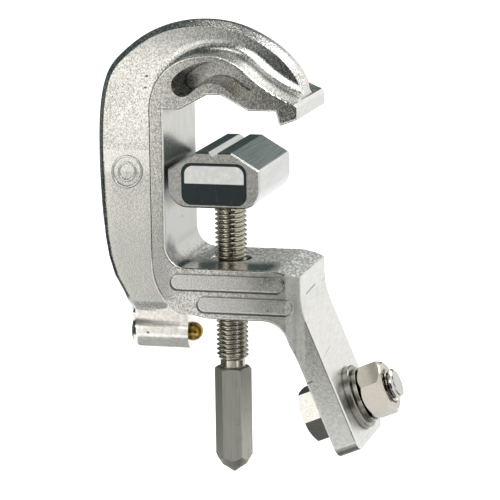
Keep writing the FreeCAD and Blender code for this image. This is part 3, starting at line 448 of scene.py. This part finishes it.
def casting_relief(finish, grain, zone, marks):
    """The sides' slight lean, the waist's curve and the grain."""
    x, z, side, depth = zone.x, zone.z, zone.side, zone.depth

    # The web thins outwards from the hook's middle
    across, up = finish.math("ADD", x, 2.0 * MM), finish.math("SUBTRACT", z, 44.0 * MM)
    up = finish.math("POWER", finish.most(up, 0.0), 2.0)
    outwards = finish.math("SQRT", finish.math("MULTIPLY_ADD", across, across, up))
    lean = finish.times(side, finish.ramp_mm(depth, 13.0, 4.5), finish.ramp_mm(z, 30.0, 65.0, 0.10, 1.0))
    finish.bump(outwards, -WEB_DRAFT, lean)

    # The flange bows towards the hook's tip
    bow = finish.math("POWER", finish.most(finish.math("ADD", x, 22.0 * MM), 0.0), 2.0)
    lean = finish.times(side, finish.ramp_mm(depth, 15.0, 17.0), finish.ramp_mm(z, -10.0, 50.0, 0.20, 1.0))
    finish.bump(bow, -FLANGE_BOW, lean)

    # The heel's flare is shaded as if it were about half as steep
    flare = finish.times(
        finish.ramp_mm(depth, 4.5, 6.0), finish.ramp_mm(x, -12.0, -18.0), finish.ramp_mm(z, 40.0, 38.0),
        finish.ramp_mm(z, -14.0, -12.0), side, finish.ramp_mm(depth, 21.6, 21.4))
    finish.bump(z, FLARE_LEAN, flare)

    # The waist's straight slope reads as two arcs that meet
    arcs = []
    for sign, edge in ((1.0, -27.0), (-1.0, 30.9)):
        run = finish.most(finish.math("MULTIPLY_ADD", x, sign, edge * MM), 0.0)
        run = finish.math("MINIMUM", run, WAIST_RUN * MM)
        run = finish.math("SUBTRACT", (WAIST_RADIUS * MM) ** 2, finish.times(run, run))
        arcs.append(finish.math("SQRT", run))
    finish.bump(finish.math("SUBTRACT", arcs[1], arcs[0]), 1.0, zone.arm)

    blasted = finish.math("SUBTRACT", 1.0, zone.smooth)
    finish.bump(grain.skin, 0.12 * MM, finish.times(blasted, 0.9))
    finish.bump(grain.skin, 0.40 * MM, zone.rough_top)
    finish.bump(grain.fine, 0.10 * MM, finish.times(zone.smooth, 0.12))
    finish.bump(grain.strokes, 0.03 * MM, finish.times(zone.tab, 0.5))
    finish.bump(marks, -0.2 * MM, 0.6)


def cast_aluminium():
    """Sand-cast aluminium: blasted and grainy, smoother on the arm, milled on the tab and the spine."""
    finish = Shader("cast_aluminium", (0.60, 0.60, 0.58), 0.30)
    grain = casting_grain(finish)
    zone = casting_zones(finish, grain)
    marks = casting_marks(finish)
    dirt_and_shade = casting_dirt_and_shade(finish, grain, zone, marks)
    # Dirt, stains, marks and painted shade darken the colour
    finish.colour(finish.mix(dirt_and_shade, casting_tone(finish, grain, zone), (0.055, 0.062, 0.060)))
    casting_gloss(finish, grain, zone)
    casting_relief(finish, grain, zone, marks)
    return finish.material


def jaw_aluminium():
    """Extruded and milled aluminium: blasted ends, fine lines along the block."""
    finish = Shader("jaw_aluminium", (0.60, 0.60, 0.585), 0.30)
    lines = finish.noise(1.0, 3.0, 0.6, finish.axes((3200.0, 0.0, 0.0), (0.0, 50.0, 0.0), (0.0, 0.0, 3200.0)))
    clouds = finish.noise(160.0, 3.0, 0.6)
    grain = finish.noise(2200.0, 2.0, 0.6)
    end = finish.ramp(finish.math("ABSOLUTE", finish.facing(Y_AXIS)), 0.7, 0.95)
    drawn = finish.shade(lines, 0.36, 0.64, (0.56, 0.565, 0.56), (0.68, 0.68, 0.67))
    drawn = finish.mix(finish.ramp(clouds, 0.5, 0.8, 0.0, 0.4), drawn, (0.50, 0.505, 0.50))
    blasted = finish.shade(grain, 0.38, 0.64, (0.32, 0.325, 0.315), (0.54, 0.54, 0.525))
    tone = finish.mix(end, drawn, blasted)
    # Edges lightened as wear and as a painted highlight
    worn_and_highlit = finish.ramp(finish.crease(0.3 * MM, inside=True), 0.50, 0.85, 0.4, 0.0)
    # Painted shade in the corners
    grime_and_shade = finish.ramp(finish.crease(1.2 * MM), 0.55, 0.92, 0.85, 0.0)
    tone = finish.mix(worn_and_highlit, tone, (0.86, 0.86, 0.85))
    finish.colour(finish.mix(grime_and_shade, tone, (0.06, 0.065, 0.065)))
    finish.roughness(finish.math("MULTIPLY_ADD", end, 0.14, finish.ramp(lines, 0.3, 0.7, 0.13, 0.20)))
    finish.bump(lines, 0.02 * MM, finish.math("SUBTRACT", 1.0, end))
    finish.bump(grain, 0.10 * MM, finish.times(end, 0.8))
    return finish.material


def stainless_steel():
    """Drawn and rolled stainless steel with lengthwise streaks."""
    finish = Shader("stainless_steel", (0.36, 0.35, 0.31), 0.22)
    drawn_out = finish.axes((2600.0, 0.0, 0.0), (0.0, 2600.0, 0.0), (0.0, 0.0, 70.0))
    streaks = finish.noise(1.0, 3.0, 0.65, drawn_out)
    stains = finish.noise(260.0, 3.0, 0.6)
    tone = finish.shade(streaks, 0.35, 0.65, (0.52, 0.49, 0.42), (0.68, 0.65, 0.57))
    hexagon = finish.ramp_mm(finish.along(Z_AXIS), -40.0, -41.0)
    duller = finish.shade(streaks, 0.35, 0.65, (0.34, 0.335, 0.30), (0.42, 0.415, 0.38))
    tone = finish.mix(hexagon, tone, duller)
    tone = finish.mix(finish.ramp(stains, 0.5, 0.8, 0.0, 0.4), tone, (0.24, 0.235, 0.21))
    # Edges lightened as wear and as a painted highlight
    worn_and_highlit = finish.ramp(finish.crease(0.3 * MM, inside=True), 0.45, 0.80, 0.5, 0.0)
    # Painted shade in the corners and the thread's roots
    grime_and_shade = finish.ramp(finish.crease(1.0 * MM), 0.35, 0.85, 0.8, 0.0)
    tone = finish.mix(worn_and_highlit, tone, (0.60, 0.58, 0.52))
    finish.colour(finish.mix(grime_and_shade, tone, (0.045, 0.045, 0.04)))
    finish.roughness(finish.math("MULTIPLY_ADD", hexagon, 0.26, finish.ramp(streaks, 0.3, 0.7, 0.15, 0.26)))
    finish.bump(streaks, 0.015 * MM, 0.5)
    return finish.material


def turned_steel(name, colour, roughness):
    """Forged or turned fasteners: fine pitting and handling marks."""
    finish = Shader(name, colour, roughness)
    grain = finish.noise(1700.0, 3.0, 0.6)
    stains = finish.noise(220.0, 3.0, 0.6)
    dark = tuple(channel * 0.86 for channel in colour)
    light = tuple(min(1.0, channel * 1.08) for channel in colour)
    tone = finish.shade(grain, 0.30, 0.70, dark, light)
    tone = finish.mix(finish.ramp(stains, 0.5, 0.75, 0.0, 0.3), tone, dark)
    # Edges lightened as wear and as a painted highlight
    worn_and_highlit = finish.ramp(finish.crease(0.4 * MM, inside=True), 0.50, 0.85, 0.7, 0.0)
    # Painted shade in the corners and where parts meet
    grime_and_shade = finish.ramp(finish.crease(1.6 * MM), 0.35, 0.85, 0.92, 0.0)
    tone = finish.mix(worn_and_highlit, tone, (0.82, 0.80, 0.75))
    finish.colour(finish.mix(grime_and_shade, tone, (0.03, 0.03, 0.03)))
    finish.roughness(finish.ramp(grain, 0.3, 0.7, roughness - 0.05, roughness + 0.07))
    finish.bump(grain, 0.008 * MM, 0.4)
    return finish.material


def brass():
    """Turned brass, tarnished in the corners and painted with shade there."""
    finish = Shader("brass", (0.50, 0.33, 0.09), 0.2)
    grain = finish.noise(900.0, 3.0, 0.6)
    tone = finish.shade(grain, 0.35, 0.65, (0.38, 0.235, 0.05), (0.58, 0.39, 0.11))
    # Painted shade and tarnish in the corners
    grime_and_shade = finish.ramp(finish.crease(1.4 * MM), 0.4, 0.9, 0.8, 0.0)
    finish.colour(finish.mix(grime_and_shade, tone, (0.06, 0.04, 0.01)))
    finish.roughness(finish.ramp(grain, 0.3, 0.7, 0.26, 0.36))
    finish.bump(grain, 0.04 * MM, 0.4)
    return finish.material


def plate_print():
    """A printed metal plate: silver above a line, black below and all round, with fine handling wear."""
    finish = Shader("plate_print", (0.5, 0.5, 0.5), 0.4, 0.35)
    rubbed = finish.noise(500.0, 4.0, 0.65)
    silver = finish.shade(rubbed, 0.4, 0.7, (0.74, 0.745, 0.74), (0.86, 0.86, 0.855))
    black = finish.shade(rubbed, 0.55, 0.8, (0.012, 0.020, 0.024), (0.05, 0.06, 0.065))
    half_wide, half_tall = PLATE_HALF_WIDE - PLATE_BORDER, PLATE_HALF_TALL - PLATE_BORDER
    within = finish.ramp(
        finish.outline((0.0, PLATE_MIDDLE), half_wide, half_tall, PLATE_CORNER), 0.0, 2 * PRINT_EDGE, 1.0, 0.0)
    above = finish.ramp(finish.along(Z_AXIS), PLATE_SPLIT - PRINT_EDGE, PLATE_SPLIT + PRINT_EDGE)
    field = finish.times(within, above)
    finish.colour(finish.mix(field, black, silver))
    finish.roughness(finish.ramp(rubbed, 0.3, 0.7, 0.32, 0.46))
    finish.bump(rubbed, 0.02 * MM, 0.3)
    return finish.material


MATERIALS = {
    "cast_aluminium": cast_aluminium(),
    "jaw_aluminium": jaw_aluminium(),
    "stainless_steel": stainless_steel(),
    "bolt_steel": turned_steel("bolt_steel", (0.56, 0.55, 0.52), 0.13),
    "washer_steel": turned_steel("washer_steel", (0.29, 0.28, 0.245), 0.20),
    "nut_steel": turned_steel("nut_steel", (0.54, 0.51, 0.45), 0.18),
    "pin_steel": turned_steel("pin_steel", (0.42, 0.42, 0.41), 0.3),
    "spring_steel": turned_steel("spring_steel", (0.38, 0.38, 0.37), 0.3),
    "brass": brass(),
    "plate_print": plate_print(),
}
SLOTS = {part["node"]: part["material_slot"] for part in frame["record"]["subparts"]}


def dress(piece, slot):
    """Gives a piece the finish of its slot."""
    piece.data.materials.clear()
    piece.data.materials.append(MATERIALS[slot])


def thread_radius(phase):
    """A 60 degree thread with a flat crest and a flat root, over one pitch."""
    from_crest = abs((phase + 0.5) % 1.0 - 0.5)
    slope = (from_crest - CREST_HALF) / (0.5 - CREST_HALF - ROOT_HALF)
    return THREAD_CREST + (THREAD_ROOT - THREAD_CREST) * max(0.0, min(1.0, slope))


def thread_mesh(bm, low, high, place, phase_at_zero):
    """A closed helical thread from low to high along the local Z axis, run out at both ends."""
    end_radius = THREAD_ROOT * 0.985
    first = math.floor(low / THREAD_PITCH) - 2
    last = math.ceil(high / THREAD_PITCH) + 2
    rows = []
    for turn in range(first, last + 1):
        for phase in THREAD_PHASES:
            row = []
            for step in range(THREAD_SEGMENTS + 1):
                share = step / THREAD_SEGMENTS
                height = (turn + phase + share + phase_at_zero) * THREAD_PITCH
                height = max(low, min(high, height))
                limit = min(height - low, high - height)
                radius = min(thread_radius(phase), end_radius + max(0.0, limit))
                angle = share * math.tau
                row.append(place @ Vector((radius * math.cos(angle), radius * math.sin(angle), height)))
            rows.append(row)
    grid = [[bm.verts.new(point) for point in row] for row in rows]
    for lower, upper in zip(grid, grid[1:]):
        for i in range(THREAD_SEGMENTS):
            bm.faces.new((lower[i], lower[i + 1], upper[i + 1], upper[i]))
    bmesh.ops.remove_doubles(bm, verts=bm.verts[:], dist=2e-7)
    bmesh.ops.dissolve_degenerate(bm, edges=bm.edges[:], dist=1e-7)
    edges = [edge for edge in bm.edges if edge.is_boundary]
    bmesh.ops.holes_fill(bm, edges=edges, sides=THREAD_SEGMENTS * 4)
    bmesh.ops.recalc_face_normals(bm, faces=bm.faces[:])


def copy_without(node, dropped):
    """A copy of a CAD node's mesh without the faces that a test picks."""
    bm = bmesh.new()
    bm.from_mesh(frame["nodes"][node].data)
    bmesh.ops.remove_doubles(bm, verts=bm.verts[:], dist=1e-6)
    gone = [face for face in bm.faces if dropped(face.calc_center_median())]
    bmesh.ops.delete(bm, geom=gone, context="FACES")
    return bm


def piece_from(bm, name, slot, body, smooth_angle=30.0):
    """Makes a mesh a piece that rides on a body."""
    mesh = bpy.data.meshes.new(name)
    bm.to_mesh(mesh)
    bm.free()
    leftover = mesh.attributes.get("custom_normal")
    if leftover:
        mesh.attributes.remove(leftover)
    mesh.shade_smooth()
    mesh.set_sharp_from_angle(angle=math.radians(smooth_angle))
    piece = bpy.data.objects.new(name, mesh)
    bpy.context.scene.collection.objects.link(piece)
    dress(piece, slot)
    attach(piece, body)
    return piece


def add_thread(bm, low, high, place, phase_at_zero):
    """Builds a thread apart and adds it, so that its clean-up leaves the other faces alone."""
    part = bmesh.new()
    thread_mesh(part, low, high, place, phase_at_zero)
    scratch = bpy.data.meshes.new("thread_part")
    part.to_mesh(scratch)
    part.free()
    bm.from_mesh(scratch)
    bpy.data.meshes.remove(scratch)


def clamp_screw():
    """The CAD screw with its plain barrel exchanged for a rolled thread."""
    top, foot, a_crest = 22.4 * MM, -38.0 * MM, 17.29 * MM
    bm = copy_without("clamp_screw", lambda middle: foot - SLACK < middle.z < top + SLACK)
    add_thread(bm, foot, top, Matrix.Identity(4), (a_crest / THREAD_PITCH) % 1.0)
    screw = piece_from(bm, "threaded_clamp_screw", "stainless_steel", "screw")
    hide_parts("clamp_screw")


def terminal_bolt():
    """The CAD bolt with its plain shank exchanged for a rolled thread."""
    seat, end = -9.3 * MM, 17.2 * MM
    bm = copy_without("terminal_bolt", lambda middle: (middle - SEAT).dot(TAB_OUT) > seat + SLACK)
    turn = Matrix((TAB_ALONG, Vector(Y_AXIS), TAB_OUT)).transposed().to_4x4()
    place = Matrix.Translation(SEAT) @ turn
    add_thread(bm, seat, end, place, BOLT_PHASE)
    bolt = piece_from(bm, "threaded_terminal_bolt", "bolt_steel", "frame")
    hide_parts("terminal_bolt")


def ring(bm, centre, radius, width, height, face):
    """A raised ring with a rounded section, half sunk in a side whose depth follows the height."""
    around, section = 72, 10
    loops = []
    for step in range(around):
        angle = math.tau * step / around
        loop = []
        for part in range(section):
            turn = math.tau * part / section
            out = radius + width / 2 * math.cos(turn)
            loop.append(bm.verts.new((
                centre[0] + out * math.cos(angle),
                -face(centre[2] + out * math.sin(angle)) - height * math.sin(turn),
                centre[2] + out * math.sin(angle),
            )))
        loops.append(loop)
    for step in range(around):
        here, there = loops[step], loops[(step + 1) % around]
        for part in range(section):
            after = (part + 1) % section
            bm.faces.new((here[part], here[after], there[after], there[part]))


def cast_roundel(name, centre, radii, width, height, face):
    """Plain rings left by the pattern, where a foundry's mark would stand."""
    bm = bmesh.new()
    for radius in radii:
        ring(bm, centre, radius, width, height, face)
    bmesh.ops.recalc_face_normals(bm, faces=bm.faces[:])
    piece_from(bm, name, "cast_aluminium", "frame", 60.0)


# The web's outer rim from the neck up, in millimetres
RIM = (
    (-33.5, -24.0), (-37.5, -20.5), (-38.1, -15.6), (-40.8, -10.2), (-44.3, -4.6),
    (-46.5, 1.7), (-47.9, 9.0), (-48.9, 20.0), (-49.4, 36.0), (-49.2, 60.0),
)


def along_rim(z):
    """The rim's X at a height."""
    for (low_x, low_z), (high_x, high_z) in zip(RIM, RIM[1:]):
        if z <= high_z:
            return low_x + (high_x - low_x) * (z - low_z) / (high_z - low_z)
    return RIM[-1][0]


# The heel's flare: heights where it starts, is flush with the arm and ends, and its depths there
FLARE_TOP, FLARE_FLUSH, FLARE_FOOT = 40.0, -12.5, -18.3
FLARE_START, FLARE_FULL, FLARE_UNDER = 4.15, 21.35, 8.0
FLARE_SETTLE = 0.35

# Its overhang past the rim, its edge's radius, its draft, and how deep it runs into the arm's curve
FLARE_OVERHANG = 0.35
FLARE_ROUND = 2.4
FLARE_DRAFT, FLARE_DRAFT_MOST = 0.17, 0.8
FLARE_LAP, FLARE_INNER = 1.6, -12.0
HEEL_MIDDLE_X, HEEL_MIDDLE_Z, HEEL_RADIUS = -1.1, 4.6, 23.3
CORE_DEPTH = 1.0


def flare_depth(z):
    """How far the web's side stands forward at a height."""
    if z < FLARE_FLUSH:
        turn = math.asin(min(1.0, (FLARE_FLUSH - z) / (FLARE_FLUSH - FLARE_FOOT)))
        return FLARE_UNDER + (FLARE_FULL - FLARE_UNDER) * math.cos(turn)
    share = max(0.0, (FLARE_TOP - z) / (FLARE_TOP - FLARE_FLUSH))
    lift = share * share / (2 * FLARE_SETTLE) if share < FLARE_SETTLE else share - FLARE_SETTLE / 2
    return FLARE_START + (FLARE_FULL - FLARE_START) * lift / (1 - FLARE_SETTLE / 2)


def heel_flare(name, side):
    """The web's side comes out over the heel until it is flush with the arm, then rolls under to the neck."""
    levels = [FLARE_TOP + (FLARE_FLUSH - FLARE_TOP) * step / 40 for step in range(41)]
    under = FLARE_FOOT - FLARE_FLUSH
    levels += [FLARE_FLUSH + under * math.sin(math.radians(angle)) for angle in range(9, 91, 9)]
    rows = []
    bm = bmesh.new()
    for z in levels:
        out = flare_depth(z)
        proud = max(0.0, out - WEB_FACE)
        edge = along_rim(z) + FLARE_OVERHANG + proud * math.tan(math.radians(CAMERA_AZIMUTH))
        drop = math.sqrt(max(0.0, HEEL_RADIUS ** 2 - min(0.0, z - HEEL_MIDDLE_Z) ** 2))
        inside = min(HEEL_MIDDLE_X - drop + FLARE_LAP, FLARE_INNER)
        round_off = min(FLARE_ROUND, out - 1.5)
        lean = min(FLARE_DRAFT_MOST, FLARE_DRAFT * proud)
        points = [(edge, CORE_DEPTH)]
        for angle in range(0, 91, 15):
            turn = math.radians(angle)
            points.append((
                edge + round_off * (1 - math.cos(turn)), out - lean - round_off * (1 - math.sin(turn))))
        first = points[-1]
        for step in range(1, 9):
            share = step / 8
            points.append((first[0] + (inside - first[0]) * share, first[1] + lean * min(1.0, share * 1.15)))
        points.append((inside, CORE_DEPTH))
        rows.append([bm.verts.new((px * MM, py * MM * side, z * MM)) for px, py in points])
    for upper, lower in zip(rows, rows[1:]):
        for i in range(len(upper)):
            after = (i + 1) % len(upper)
            bm.faces.new((upper[i], upper[after], lower[after], lower[i]))
    bm.faces.new(rows[0])
    bm.faces.new(rows[-1])
    bmesh.ops.recalc_face_normals(bm, faces=bm.faces[:])
    piece_from(bm, name, "cast_aluminium", "frame", 40.0)


# A rib's section: depths, and half heights there
RIB_SECTION = (
    (20.9, 2.95), (22.0, 2.82), (22.35, 2.72), (22.55, 2.58), (22.65, 2.38), (22.66, 2.28), (22.66, 2.0))


def rib_skin(name, left, right, middle, side):
    """A rib's rounded edge and full right end, just proud of the plain rib."""
    bm = bmesh.new()
    loops = []
    for depth, half in RIB_SECTION:
        loop = []
        for centre, start in ((right - RIB_HALF, -90), (left + RIB_HALF, 90)):
            for step in range(17):
                angle = math.radians(start + step * 180 / 16)
                loop.append(bm.verts.new((
                    (centre + half * math.cos(angle)) * MM, depth * side * MM,
                    (middle + half * math.sin(angle)) * MM)))
        loops.append(loop)
    for low, high in zip(loops, loops[1:]):
        for i in range(len(low)):
            after = (i + 1) % len(low)
            bm.faces.new((low[i], low[after], high[after], high[i]))
    bm.faces.new(loops[0])
    bm.faces.new(loops[-1])
    bmesh.ops.recalc_face_normals(bm, faces=bm.faces[:])
    piece_from(bm, name, "cast_aluminium", "frame", 50.0)


for node, piece in frame["nodes"].items():
    dress(piece, SLOTS[node])
for end, side in (("front", -1), ("rear", 1)):
    for rib, run in RIBS.items():
        rib_skin(f"{end}_{rib}_rib", *run, side)
heel_flare("front_heel_flare", -1)
heel_flare("rear_heel_flare", 1)
clamp_screw()
terminal_bolt()
cast_roundel("web_roundel", spot(-38.0, -WEB_FACE, 32.1), (5.6 * MM, 3.2 * MM), 0.8 * MM, 0.34 * MM,
             lambda z: max(WEB_FACE, flare_depth(z / MM)) * MM)
cast_roundel("flange_roundel", spot(-21.4, -FLANGE_FACE, 56.0), (1.4 * MM,), 0.5 * MM, 0.22 * MM,
             lambda z: FLANGE_FACE * MM)


# Studio
FLOOR_Z = -0.20
FLOOR_HALF = 9.0
CARD_FOOT = FLOOR_Z + 0.004
SKY_BRIGHT = 1.0
SKY_DARK = 0.08
RIGHT_BRIGHT = 1.15
FRONT_BRIGHT = 1.8
OVERHEAD_BRIGHT = 3.0
OVERHEAD_WAY = (-0.05, 0.20, 0.98)
OVERHEAD_SPREAD = (17.0, 9.0)
DARK_TINT = (0.72, 1.0, 0.95)
BRIGHT_TINT = (1.0, 0.98, 0.94)
GRADED_TINT = (1.0, 0.975, 0.93)
GRADED_DIMMING = {"From Min": -0.35, "From Max": -0.08, "To Min": 1.5, "To Max": 0.03}
FLOOR_GLOW = 0.50
BACKDROP_GLOW = 0.85


def plane(name, corners, material):
    """A flat piece of the studio."""
    bm = bmesh.new()
    bm.faces.new([bm.verts.new(corner) for corner in corners])
    mesh = bpy.data.meshes.new(name)
    bm.to_mesh(mesh)
    bm.free()
    mesh.materials.append(material)
    piece = bpy.data.objects.new(name, mesh)
    bpy.context.scene.collection.objects.link(piece)
    return piece


def floor_material():
    """A pale floor that cameras and metal see near white, and that keeps the shadow."""
    material = bpy.data.materials.new("pale_floor")
    material.use_nodes = True
    nodes, links = material.node_tree.nodes, material.node_tree.links
    surface = nodes["Principled BSDF"]
    surface.inputs["Base Color"].default_value = (0.80, 0.80, 0.80, 1.0)
    surface.inputs["Roughness"].default_value = 0.9
    surface.inputs["Emission Color"].default_value = (1.0, 1.0, 1.0, 1.0)
    path = nodes.new("ShaderNodeLightPath")
    strength = None
    glows = {"Is Camera Ray": BACKDROP_GLOW, "Is Glossy Ray": FLOOR_GLOW, "Is Transmission Ray": BACKDROP_GLOW}
    for ray, glow in glows.items():
        node = nodes.new("ShaderNodeMath")
        node.operation = "MULTIPLY_ADD"
        links.new(path.outputs[ray], node.inputs[0])
        node.inputs[1].default_value = glow
        node.inputs[2].default_value = 0.0
        if strength:
            links.new(strength, node.inputs[2])
        strength = node.outputs["Value"]
    links.new(strength, surface.inputs["Emission Strength"])
    return material


def card_material(name, grey, glow=0.0, tint=(1.0, 1.0, 1.0)):
    """Matt card, which may glow."""
    material = bpy.data.materials.new(name)
    material.use_nodes = True
    surface = material.node_tree.nodes["Principled BSDF"]
    surface.inputs["Base Color"].default_value = (*(grey * channel for channel in tint), 1.0)
    surface.inputs["Emission Color"].default_value = (*tint, 1.0)
    surface.inputs["Emission Strength"].default_value = glow
    surface.inputs["Roughness"].default_value = 1.0
    surface.inputs["Specular IOR Level"].default_value = 0.0
    return material


def graded_card():
    """A white card that dims towards the right, so that flat sides take a soft gradient."""
    material = card_material("graded_card", 0.3, 1.0, GRADED_TINT)
    nodes, links = material.node_tree.nodes, material.node_tree.links
    parts = nodes.new("ShaderNodeSeparateXYZ")
    links.new(nodes.new("ShaderNodeTexCoord").outputs["Object"], parts.inputs["Vector"])
    fade = nodes.new("ShaderNodeMapRange")
    fade.interpolation_type = "SMOOTHSTEP"
    links.new(parts.outputs["X"], fade.inputs["Value"])
    for socket, value in GRADED_DIMMING.items():
        fade.inputs[socket].default_value = value
    links.new(fade.outputs["Result"], nodes["Principled BSDF"].inputs["Emission Strength"])
    return material


def area_light(name, place, target, size, power):
    """A rectangular light that points at a target."""
    data = bpy.data.lights.new(name, "AREA")
    data.shape = "RECTANGLE"
    data.size, data.size_y = size
    data.energy = power
    lamp = bpy.data.objects.new(name, data)
    bpy.context.scene.collection.objects.link(lamp)
    lamp.location = place
    direction = Vector(target) - Vector(place)
    lamp.rotation_euler = direction.to_track_quat("-Z", "Y").to_euler()


def make_sky():
    """A studio round the clamp: white at the horizon and on the right, one soft spot above, dark elsewhere."""
    world = bpy.data.worlds.new("world")
    bpy.context.scene.world = world
    world.use_nodes = True
    nodes, links = world.node_tree.nodes, world.node_tree.links
    direction = nodes.new("ShaderNodeTexCoord").outputs["Generated"]
    parts = nodes.new("ShaderNodeSeparateXYZ")
    links.new(direction, parts.inputs["Vector"])

    def maths(kind, first, second=0.0):
        node = nodes.new("ShaderNodeMath")
        node.operation = kind
        for socket, value in zip(node.inputs, (first, second)):
            if isinstance(value, float):
                socket.default_value = value
            else:
                links.new(value, socket)
        return node.outputs["Value"]

    def step(value, low, high, level=1.0):
        node = nodes.new("ShaderNodeMapRange")
        node.interpolation_type = "SMOOTHSTEP"
        links.new(value, node.inputs["Value"])
        node.inputs["From Min"].default_value = low
        node.inputs["From Max"].default_value = high
        node.inputs["To Min"].default_value = 0.0
        node.inputs["To Max"].default_value = level
        return node.outputs["Result"]

    def window(edges, top, level):
        """A lit patch of sky; each edge is a value and the degrees where it starts and is full."""
        lit = step(height, *(math.radians(angle) for angle in top), level)
        for value, start, full in edges:
            lit = maths("MULTIPLY", lit, step(value, math.radians(start), math.radians(full)))
        return lit

    def blend(factor, first, second):
        node = nodes.new("ShaderNodeMix")
        node.data_type = "RGBA"
        links.new(factor, node.inputs["Factor"])
        for socket, value in ((node.inputs[6], first), (node.inputs[7], second)):
            if isinstance(value, tuple):
                socket.default_value = (*value, 1.0)
            else:
                links.new(value, socket)
        return node.outputs[2]

    # Azimuth is nought in front and grows towards the right
    azimuth = maths("ARCTAN2", parts.outputs["X"], maths("MULTIPLY", parts.outputs["Y"], -1.0))
    height = maths("ARCSINE", parts.outputs["Z"])
    right = window([(azimuth, 48.0, 56.0), (azimuth, 182.5, 168.0)], (64.0, 48.0), RIGHT_BRIGHT)
    front = window(
        [(azimuth, -72.0, -60.0), (azimuth, -4.0, -24.0), (height, 12.0, 18.0)], (55.0, 40.0), FRONT_BRIGHT)
    horizon = window([(azimuth, -100.0, -80.0)], (6.0, 1.0), SKY_BRIGHT)
    dot = nodes.new("ShaderNodeVectorMath")
    dot.operation = "DOT_PRODUCT"
    links.new(direction, dot.inputs[0])
    dot.inputs[1].default_value = Vector(OVERHEAD_WAY).normalized()
    overhead = step(
        dot.outputs["Value"], *(math.cos(math.radians(angle)) for angle in OVERHEAD_SPREAD), OVERHEAD_BRIGHT)
    level = maths("MAXIMUM", maths("MAXIMUM", right, front), maths("MAXIMUM", horizon, overhead))
    tint = blend(level, DARK_TINT, BRIGHT_TINT)

    # The camera itself sees a white backdrop
    path = nodes.new("ShaderNodeLightPath")
    seen = maths("MAXIMUM", path.outputs["Is Camera Ray"], path.outputs["Is Transmission Ray"])
    links.new(blend(seen, tint, (1.0, 1.0, 1.0)), nodes["Background"].inputs["Color"])
    links.new(maths("MAXIMUM", maths("MAXIMUM", level, SKY_DARK), seen), nodes["Background"].inputs["Strength"])


def only_reflected(piece):
    """Leaves a piece visible to reflections alone."""
    for way in ("camera", "diffuse", "shadow", "transmission", "volume_scatter"):
        setattr(piece, f"visible_{way}", False)


def card(name, first, last, away, top, material):
    """An upright card between two azimuths, which only reflections meet."""
    corners = []
    for azimuth, height in ((first, CARD_FOOT), (last, CARD_FOOT), (last, top), (first, top)):
        turn = math.radians(azimuth)
        corners.append((away * math.sin(turn), -away * math.cos(turn), height))
    only_reflected(plane(name, corners, material))


def flat_plane(name, left, right, near, far, height, material):
    """A level rectangle."""
    corners = [(x, y, height) for x, y in ((left, near), (right, near), (right, far), (left, far))]
    return plane(name, corners, material)


make_camera()
flat_plane("floor", -FLOOR_HALF, FLOOR_HALF, -FLOOR_HALF, FLOOR_HALF, FLOOR_Z, floor_material())
BLACK = card_material("black_card", 0.03, tint=(0.8, 1.0, 0.97))
DARK = card_material("dark_card", 0.16, tint=(0.85, 1.0, 0.96))
card("left_flag", -150.0, -90.0, 0.45, 0.12, DARK)
card("left_front_flag", -90.0, -43.0, 0.45, 0.08, BLACK)
card("front_panel", -43.0, -1.0, 0.62, 0.20, graded_card())
card("front_flag", -1.0, 50.0, 0.62, 0.32, BLACK)
only_reflected(flat_plane(
    "under_card", -0.12, 0.12, -0.24, 0.15, FLOOR_Z + 0.006, card_material("under_card", 0.50)))
only_reflected(flat_plane(
    "dark_under_card", 0.01, 0.09, -0.09, 0.03, FLOOR_Z + 0.008, card_material("dark_under_card", 0.20)))
area_light("key", (0.45, -0.55, 0.75), (0, 0, 0), (0.5, 0.5), 5.0)
area_light("rear", (0.45, 0.55, 0.65), (0, 0, 0), (0.5, 0.35), 1.5)
make_sky()
bpy.context.scene.view_settings.view_transform = "Standard"
